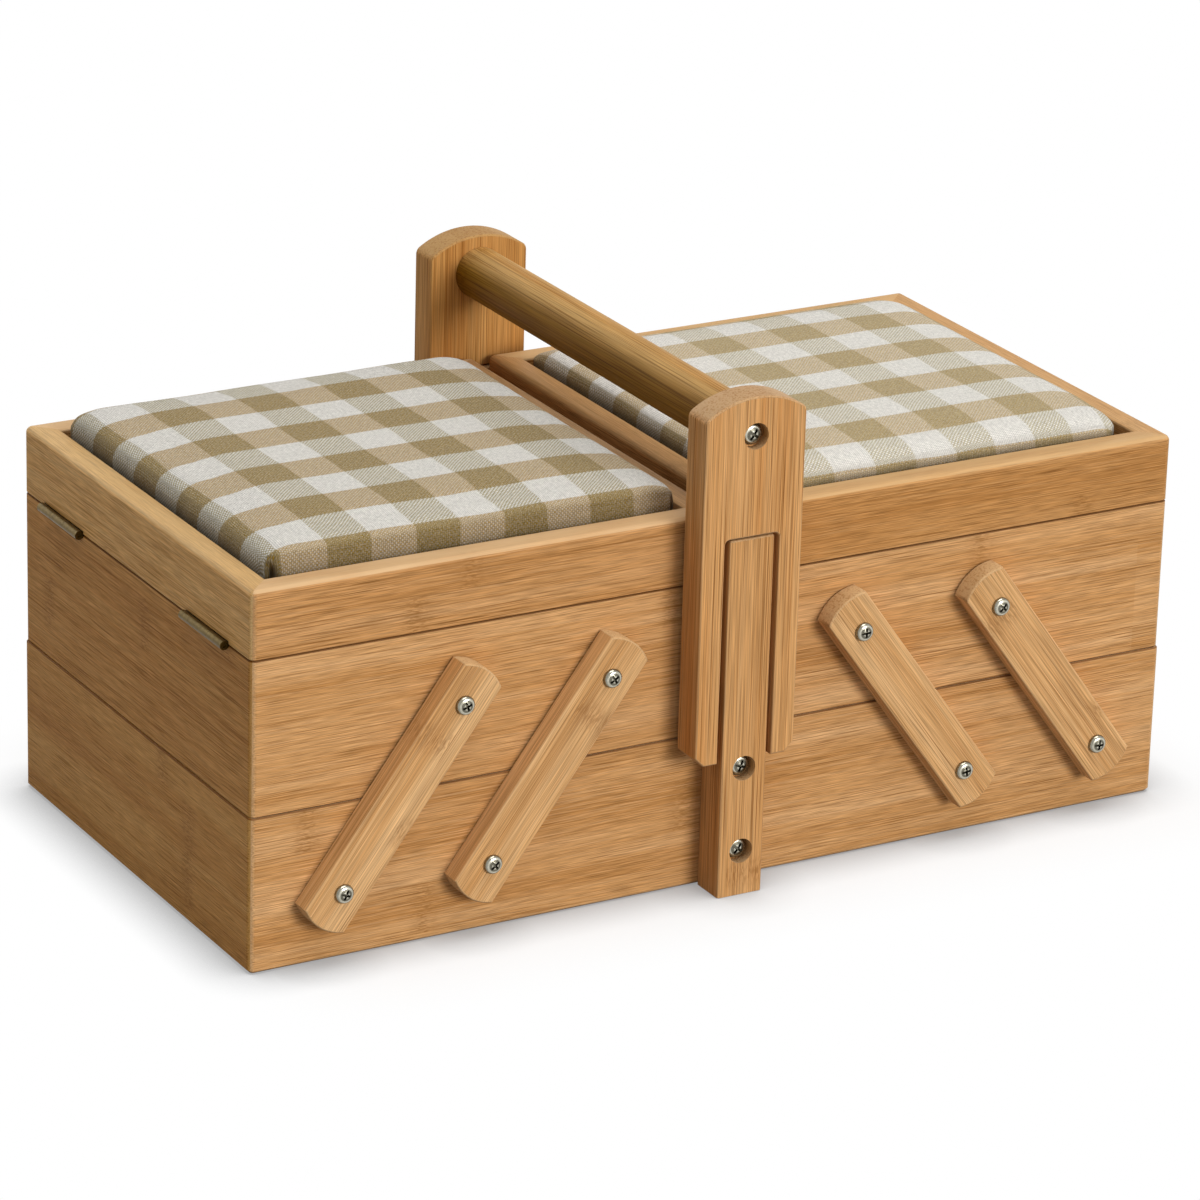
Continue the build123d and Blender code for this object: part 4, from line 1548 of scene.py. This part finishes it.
        # Collected first, because moving a point makes Blender work out all normals again
        normals = [vertex.normal.copy() for vertex in mesh.vertices]
        for vertex, normal in zip(mesh.vertices, normals):
            near = finder.find_n(vertex.co, self.neighbours)
            weights = [1 / (distance * distance + MM * MM) for _, _, distance in near]
            moves = [steps[index][1] * weight for (_, index, _), weight in zip(near, weights)]
            step = sum(moves, Vector()) / sum(weights)
            vertex.co += normal * max(0.0, step.dot(normal)) * self.swell_share

    def tighten(self, mesh: bpy.types.Mesh) -> None:
        """Draws the front roll out where the cloth is pulled tight over the filling.

        Args:
            mesh: The fine form.
        """
        power = self.front_square
        middle_y = self.low.y + self.roll_mm * MM
        middle_z = self.high.z - (self.crown_mm + self.roll_mm) * MM
        for vertex in mesh.vertices:
            out = middle_y - vertex.co.y
            rise = vertex.co.z - middle_z
            if out > 0 and rise > 0:
                turn = atan2(rise, out)
                grow = (cos(turn) ** power + sin(turn) ** power) ** (-1 / power)
                vertex.co.y = middle_y - out * grow
                vertex.co.z = middle_z + rise * grow
        mesh.update()

    def unrolled(self, offset: float, half: float, drop: float, lean: float, roll: float) -> float:
        """Where a point lies on the flat cloth along one axis.

        Args:
            offset: Distance from the pad's middle.
            half: Half of the pad's width along this axis.
            drop: How far the point lies below the top.
            lean: Size of the normal's part along this axis.
            roll: Radius of the edge that the cloth goes over.

        Returns:
            Distance from the middle along the cloth.
        """
        flat = half - roll
        beyond = abs(offset) - flat
        if beyond <= 0:
            return offset
        over = roll * asin(min(1.0, beyond / roll))
        down = roll * pi / 2 + max(0.0, drop - roll)
        leaning, upright = self.steep_facing
        steep = min(1.0, max(0.0, (lean - leaning) / (upright - leaning)))
        path = over + (down - over) * steep
        return (flat + path) * (1 if offset > 0 else -1)

    def mark_weave(self, mesh: bpy.types.Mesh) -> None:
        """Writes each point's place on the cloth, zero in the middle of a white square.

        Args:
            mesh: The fine form before it swells.
        """
        top = self.high.z - self.crown_mm * MM
        weave = mesh.attributes.new("weave", "FLOAT_VECTOR", "POINT")
        middle_x = self.check_middle_mm[0] * MM - self.middle.x
        middle_y = self.check_middle_mm[1] * MM - self.middle.y
        for vertex, item in zip(mesh.vertices, weave.data):
            away = vertex.co - self.middle
            drop = max(0.0, top - vertex.co.z)
            roll = self.front_roll_mm if away.y < 0 else self.roll_mm
            u = self.unrolled(away.x, self.half.x, drop, abs(vertex.normal.x), self.roll_mm * MM)
            v = self.unrolled(away.y, self.half.y, drop, abs(vertex.normal.y), roll * MM)
            item.vector = (u - middle_x, v - middle_y, 0.0)

    def tucked(self, place: Vector) -> Vector:
        """Presses the folded slit into a corner and lets the slack corner draw in.

        Args:
            place: A point of the pad.

        Returns:
            Where the point goes.
        """
        reach = self.corner_mm * MM
        away = place - self.middle
        beyond = Vector((abs(away.x) - self.half.x + reach, abs(away.y) - self.half.y + reach))
        drop = self.high.z - self.crown_mm * MM - place.z
        moved = place.copy()
        if beyond.x > 0 and beyond.y > 0:
            turn = (atan2(beyond.y, beyond.x) - pi / 4) / radians(self.tuck_half_angle)
            fade = min(1.0, max(0.0, (drop - self.tuck_start_mm * MM) / (self.tuck_fade_mm * MM)))
            depth = self.tuck_depth_mm * MM * exp(-turn * turn) * fade * min(1.0, beyond.length / reach)
            moved.x -= depth * cos(pi / 4) * (1 if away.x > 0 else -1)
            moved.y -= depth * sin(pi / 4) * (1 if away.y > 0 else -1)
        share = max(0.0, 1 - (place.y - self.low.y) / (self.slack_reach_mm * MM))
        share *= max(0.0, 1 - (self.high.x - place.x) / (self.slack_reach_mm * MM))
        moved.x -= self.slack_corner_mm * MM * share
        return moved

    def sagged(self, place: Vector) -> Vector:
        """Lowers the part above the rim where the filling is thin.

        Args:
            place: A point of the pad.

        Returns:
            Where the point goes.
        """
        rise = place.z - self.rim
        if rise <= 0:
            return place
        insets = {
            "front": place.y - self.low.y, "back": self.high.y - place.y,
            "left": place.x - self.low.x, "right": self.high.x - place.x,
        }
        share = self.fullness
        for edge, roll in self.soft.items():
            share *= roll.share(insets[edge])
        return Vector((place.x, place.y, self.rim + rise * share))

    def settle(self, mesh: bpy.types.Mesh) -> None:
        """Adds lumps of the filling and puckers of the rolled edge, and keeps the pad in its recess.

        Args:
            mesh: The fine form.
        """
        play = self.wall_play_mm * MM
        top = self.high.z - self.crown_mm * MM
        normals = [vertex.normal.copy() for vertex in mesh.vertices]
        for vertex, normal in zip(mesh.vertices, normals):
            drop = max(0.0, top - vertex.co.z) / (self.roll_mm * MM)
            above = (vertex.co.z - self.low.z) / (self.pucker_foot_mm * MM)
            edge = min(1.0, drop) * max(0.0, min(1.0, above))
            lump = self.lump_mm * MM * noise.noise(vertex.co * self.lumps_per_metre) * (1 - edge)
            along = Vector((vertex.co.x, vertex.co.y, vertex.co.z * self.pucker_squash))
            along *= self.puckers_per_metre
            pucker = self.pucker_mm * MM * noise.noise(along) * edge
            place = self.sagged(self.tucked(vertex.co + normal * (lump + pucker)))
            for axis in (0, 1):
                place[axis] = min(max(place[axis], self.low[axis] - play), self.high[axis] + play)
            place.z = min(max(place.z, self.low.z), self.high.z + self.top_play_mm * MM)
            vertex.co = place
        mesh.update()

    def mark_shade(self, mesh: bpy.types.Mesh) -> None:
        """Writes the cloth's painted shade: darker on its steep sides, down by the rim and where it faces
        left, away from the light, times the pad's painted light level.

        Args:
            mesh: The finished form.
        """
        shade = mesh.attributes.new("shade", "FLOAT", "POINT")
        for vertex, item in zip(mesh.vertices, shade.data):
            steep = 1 - min(1.0, max(0.0, vertex.normal.z))
            low = 1 - min(1.0, max(0.0, (vertex.co.z - self.rim) / (self.rim_shade_mm * MM)))
            turned = max(0.0, -vertex.normal.x)
            dull = self.steep_shade + self.rim_shade * low + self.left_shade * turned
            item.value = self.clean * (1 - steep * dull)

    def build(self) -> None:
        node = f"{self.side.word}_lid_pad"
        piece = self.net(self.form_mm, self.form_smoothing)
        piece.name = node + ".gingham"
        mesh = piece.data
        mesh.name = piece.name
        self.tighten(mesh)
        self.mark_weave(mesh)
        self.swell(mesh, self.swelling())
        self.settle(mesh)
        mesh.shade_smooth()
        self.mark_shade(mesh)
        mesh.materials.clear()
        mesh.materials.append(self.cloth)
        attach(piece, f"{self.side.word}_lid")
        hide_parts(node)
        log.info("pad %s with %d faces", piece.name, len(mesh.polygons))


@dataclass
class Studio:
    """A plain white studio with the photograph's camera."""

    azimuth: float = -29.926
    elevation: float = 21.050
    roll: float = 1.638
    # The camera's place along its own axes: to the right, up and back
    place_mm: tuple[float, float, float] = (3.56, 74.53, 2297.6)
    focal_px: float = 5783.1
    image_px: float = 1200.0
    sensor_mm: float = 36.0
    sight_m: float = 50.0
    ambient: float = 0.35
    key_direction: tuple[float, float, float] = (0.28, -0.93, 0.24)
    key_strength: float = 2.05
    key_softness: float = 24.0
    top_direction: tuple[float, float, float] = (0.05, -0.1, 1.0)
    top_strength: float = 2.0
    top_softness: float = 40.0
    back_direction: tuple[float, float, float] = (-0.1, 0.98, 0.16)
    back_strength: float = 0.75
    # What the floor throws back at the object, and the paint that takes its shadow
    bounce: float = 0.30
    paint: float = 0.82
    # The shadow's strength beside the box, how far it reaches, and where it comes in from the left
    shadow_share: float = 0.35
    shadow_reach_mm: float = 50.0
    shadow_left_mm: tuple[float, float] = (-210.0, -150.0)
    # Painted contact shadow in the floor's glow, from its occlusion: how far the dark line under the box
    # reaches and how dark it gets
    contact_mm: float = 24.0
    contact_level: float = 0.42
    contact_samples: int = 12
    floor_half_m: float = 4.0
    floor_drop_mm: float = 0.2

    def camera(self) -> None:
        """Sets the camera where the photograph was taken."""
        a, e, r = radians(self.azimuth), radians(self.elevation), radians(self.roll)
        back = Vector((sin(a) * cos(e), -cos(a) * cos(e), sin(e)))
        right = Vector((cos(a), sin(a), 0.0))
        up = back.cross(right)
        turned_right = right * cos(r) + up * sin(r)
        turned_up = up * cos(r) - right * sin(r)
        turn = Matrix((turned_right, turned_up, back)).transposed()
        lens = bpy.data.cameras.new("photo_camera")
        lens.sensor_fit = "HORIZONTAL"
        lens.sensor_width = self.sensor_mm
        lens.lens = self.focal_px * self.sensor_mm / self.image_px
        lens.clip_end = self.sight_m
        camera = bpy.data.objects.new("photo_camera", lens)
        camera.matrix_world = Matrix.Translation(turn @ (Vector(self.place_mm) * MM)) @ turn.to_4x4()
        bpy.context.scene.collection.objects.link(camera)
        bpy.context.scene.camera = camera

    def seen(self, tree: bpy.types.NodeTree) -> bpy.types.NodeSocket:
        """Tells rays that show the background itself from those that only light the object.

        Args:
            tree: The nodes of the room or the floor.

        Returns:
            One for rays from the camera, from a gloss or through a glass.
        """
        camera = add_node(tree, "ShaderNodeLightPath", out="Is Camera Ray")
        path = camera.node.outputs
        shown = add_node(tree, "ShaderNodeMath", {0: camera, 1: path["Is Glossy Ray"]}, operation="MAXIMUM")
        return add_node(tree, "ShaderNodeMath", {
            0: shown, 1: path["Is Transmission Ray"],
        }, operation="MAXIMUM")

    def sun(self, name: str, direction: tuple[float, float, float], strength: float,
            softness: float) -> None:
        """Adds one soft, even light.

        Args:
            name: What it is for.
            direction: From the object towards the light.
            strength: Its power per area.
            softness: How wide it looks, in degrees.
        """
        lamp = bpy.data.lights.new(name, "SUN")
        lamp.energy = strength
        lamp.angle = radians(softness)
        light = bpy.data.objects.new(name, lamp)
        light.rotation_euler = Vector(direction).to_track_quat("Z", "Y").to_euler()
        bpy.context.scene.collection.objects.link(light)

    def light(self) -> None:
        """Lights the object from the front, from above and faintly from behind, in a soft white room."""
        self.sun("key", self.key_direction, self.key_strength, self.key_softness)
        self.sun("overhead", self.top_direction, self.top_strength, self.top_softness)
        self.sun("back_fill", self.back_direction, self.back_strength, self.top_softness)
        world = bpy.data.worlds.new("white_room")
        bpy.context.scene.world = world
        world.use_nodes = True
        tree = world.node_tree
        tree.nodes.clear()
        room = add_node(tree, "ShaderNodeBackground", {"Color": (1, 1, 1, 1), "Strength": self.ambient})
        white = add_node(tree, "ShaderNodeBackground", {"Color": (1, 1, 1, 1), "Strength": 1.0})
        both = add_node(tree, "ShaderNodeMixShader", {0: self.seen(tree), 1: room, 2: white})
        add_node(tree, "ShaderNodeOutputWorld", {"Surface": both})

    def floor(self) -> None:
        """Lays a pale floor that shows white, keeps the soft shadow near the object and has a painted contact
        shadow in its glow.
        """
        material, tree = new_material("pale_floor")
        place = add_node(tree, "ShaderNodeTexCoord", out="Object")
        _, high = cad_box
        away = add_node(tree, "ShaderNodeVectorMath", {0: place}, operation="ABSOLUTE")
        beyond = add_node(tree, "ShaderNodeVectorMath", {
            0: away, 1: (high[0], high[1], 0.0),
        }, operation="SUBTRACT")
        outside = add_node(tree, "ShaderNodeVectorMath", {0: beyond, 1: (0, 0, 0)}, operation="MAXIMUM")
        distance = add_node(tree, "ShaderNodeVectorMath", {0: outside}, "Value", operation="LENGTH")
        share = add_node(tree, "ShaderNodeMapRange", {
            "Value": distance, "From Max": self.shadow_reach_mm * MM,
            "To Min": self.shadow_share, "To Max": 0.0,
        }, interpolation_type="SMOOTHSTEP")
        across = add_node(tree, "ShaderNodeSeparateXYZ", {"Vector": place}, "X")
        lit = add_node(tree, "ShaderNodeMapRange", {
            "Value": across, "From Min": self.shadow_left_mm[0] * MM, "From Max": self.shadow_left_mm[1] * MM,
        })
        share = add_node(tree, "ShaderNodeMath", {0: share, 1: lit}, operation="MULTIPLY")
        paint = add_node(tree, "ShaderNodeBsdfDiffuse", {"Color": (self.paint, self.paint, self.paint, 1)})
        dim = add_node(tree, "ShaderNodeBsdfDiffuse", {"Color": (self.bounce, self.bounce, self.bounce, 1)})
        open_sky = add_node(tree, "ShaderNodeAmbientOcclusion", {
            "Distance": self.contact_mm * MM,
        }, "AO", samples=self.contact_samples)
        level = add_node(tree, "ShaderNodeMapRange", {
            "Value": open_sky, "From Min": self.contact_level, "To Min": self.contact_level,
        })
        glow = add_node(tree, "ShaderNodeEmission", {"Color": (1, 1, 1, 1), "Strength": level})
        shown = add_node(tree, "ShaderNodeMixShader", {0: share, 1: glow, 2: paint})
        both = add_node(tree, "ShaderNodeMixShader", {0: self.seen(tree), 1: dim, 2: shown})
        add_node(tree, "ShaderNodeOutputMaterial", {"Surface": both})
        mesh = bpy.data.meshes.new("floor")
        size, depth = self.floor_half_m, -self.floor_drop_mm * MM
        corners = [(-size, -size, depth), (size, -size, depth), (size, size, depth), (-size, size, depth)]
        mesh.from_pydata(corners, [], [(0, 1, 2, 3)])
        mesh.materials.append(material)
        linked("floor", mesh)

    def build(self) -> None:
        """Sets up the camera, the light and the floor."""
        bpy.context.scene.view_settings.view_transform = "Standard"
        self.camera()
        self.light()
        self.floor()


def clear_startup() -> None:
    """Removes whatever the empty file came with besides the frame."""
    kept = set(frame["nodes"].values()) | set(frame["bodies"].values())
    for thing in list(bpy.context.scene.objects):
        if thing not in kept:
            bpy.data.objects.remove(thing)


def main() -> None:
    """Builds the pieces in order, then the studio."""
    logging.basicConfig(level=logging.INFO, format="%(message)s")
    clear_startup()
    boards = Bamboo("bamboo_board", "#d1a371", "#c5935d", "#b8844d", "#8c5e2f", "#b79770")
    strips = Bamboo("bamboo_link", "#d9ae7b", "#cd9e69", "#c08e58", "#93653a", "#bd9c70",
                    fibre_length_mm=70.0, fibre_strength=0.80)
    sticks = Bamboo("bamboo_handle", "#cf9f6a", "#c5925b", "#b97f46", "#885626", "#b0906a",
                    fibre_length_mm=80.0, fibre_strength=1.0)
    ply = Bamboo("bamboo_ply", "#ddbd8d", "#cfa974", "#c19760", "#a57c4c", "#c2a379", strip_mm=14.0)
    plain = Bamboo("hardwood_key", "#c49a68", "#b3864f", "#a1743f", "#7f582c", "#a88459")
    seams = tuple(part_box(node)[1][2] for node in ("base_front_board", "left_tray_front_board"))
    work = BambooWork({
        "bamboo_board": boards.material(), "bamboo_link": strips.material(),
        "bamboo_handle": sticks.material(), "floor_panel": ply.material(), "guide_key": plain.material(),
    }, seams)
    zinc = Metal("bright_zinc", "#d8d4c4", "#8f8a78", "#3f3b2c", roughness=(0.14, 0.32)).material()
    brass = Metal("dull_brass", "#776231", "#3a2d12", "#241a08", roughness=(0.34, 0.50)).material()
    cloth = Gingham().material()

    BaseBox(work).build()
    for side in Side:
        Tray(work, side).build()
    Lid(work, Side.LEFT, stain="#f6f1ea", outer_stain="#f8fff6", outer_lift=1.22).build()
    Lid(work, Side.RIGHT, stain="#efe6d4", outer_stain="#f4efe4", outer_lift=1.0).build()
    linkage = Linkage(work)
    linkage.build()
    Handle(work).build()
    Fasteners(ScrewSetter(), linkage, zinc, brass).build()
    Hinges(brass).build()
    full = {"back": EdgeRoll(0.8, 18), "left": EdgeRoll(0.85, 14), "right": EdgeRoll(0.75, 16)}
    # Painted light: the left pad's cloth is painted darker and the right one's lighter
    LidPad(Side.LEFT, cloth, check_middle_mm=(-99.3, -1.8), fullness=1.0, soft=full, clean=0.95,
           front_square=5.0, front_roll_mm=2.9).build()
    thin = {"front": EdgeRoll(0.6, 15), "back": EdgeRoll(0.3, 20), "right": EdgeRoll(0.45, 17)}
    # Painted light: a lighter copy of the gingham for the right pad, which stands in brighter light
    lit_gingham = Gingham("gingham_cotton_faded", "#d4d0c8", "#bbaa8d", "#c1baa9", "#a6946f").material()
    LidPad(Side.RIGHT, lit_gingham, check_middle_mm=(98.3, -8.5), fullness=0.75, soft=thin, clean=1.04,
           slack_corner_mm=5.0, slack_reach_mm=34.0, tuck_depth_mm=1.0).build()
    Studio().build()


if __name__ == "__main__":
    main()
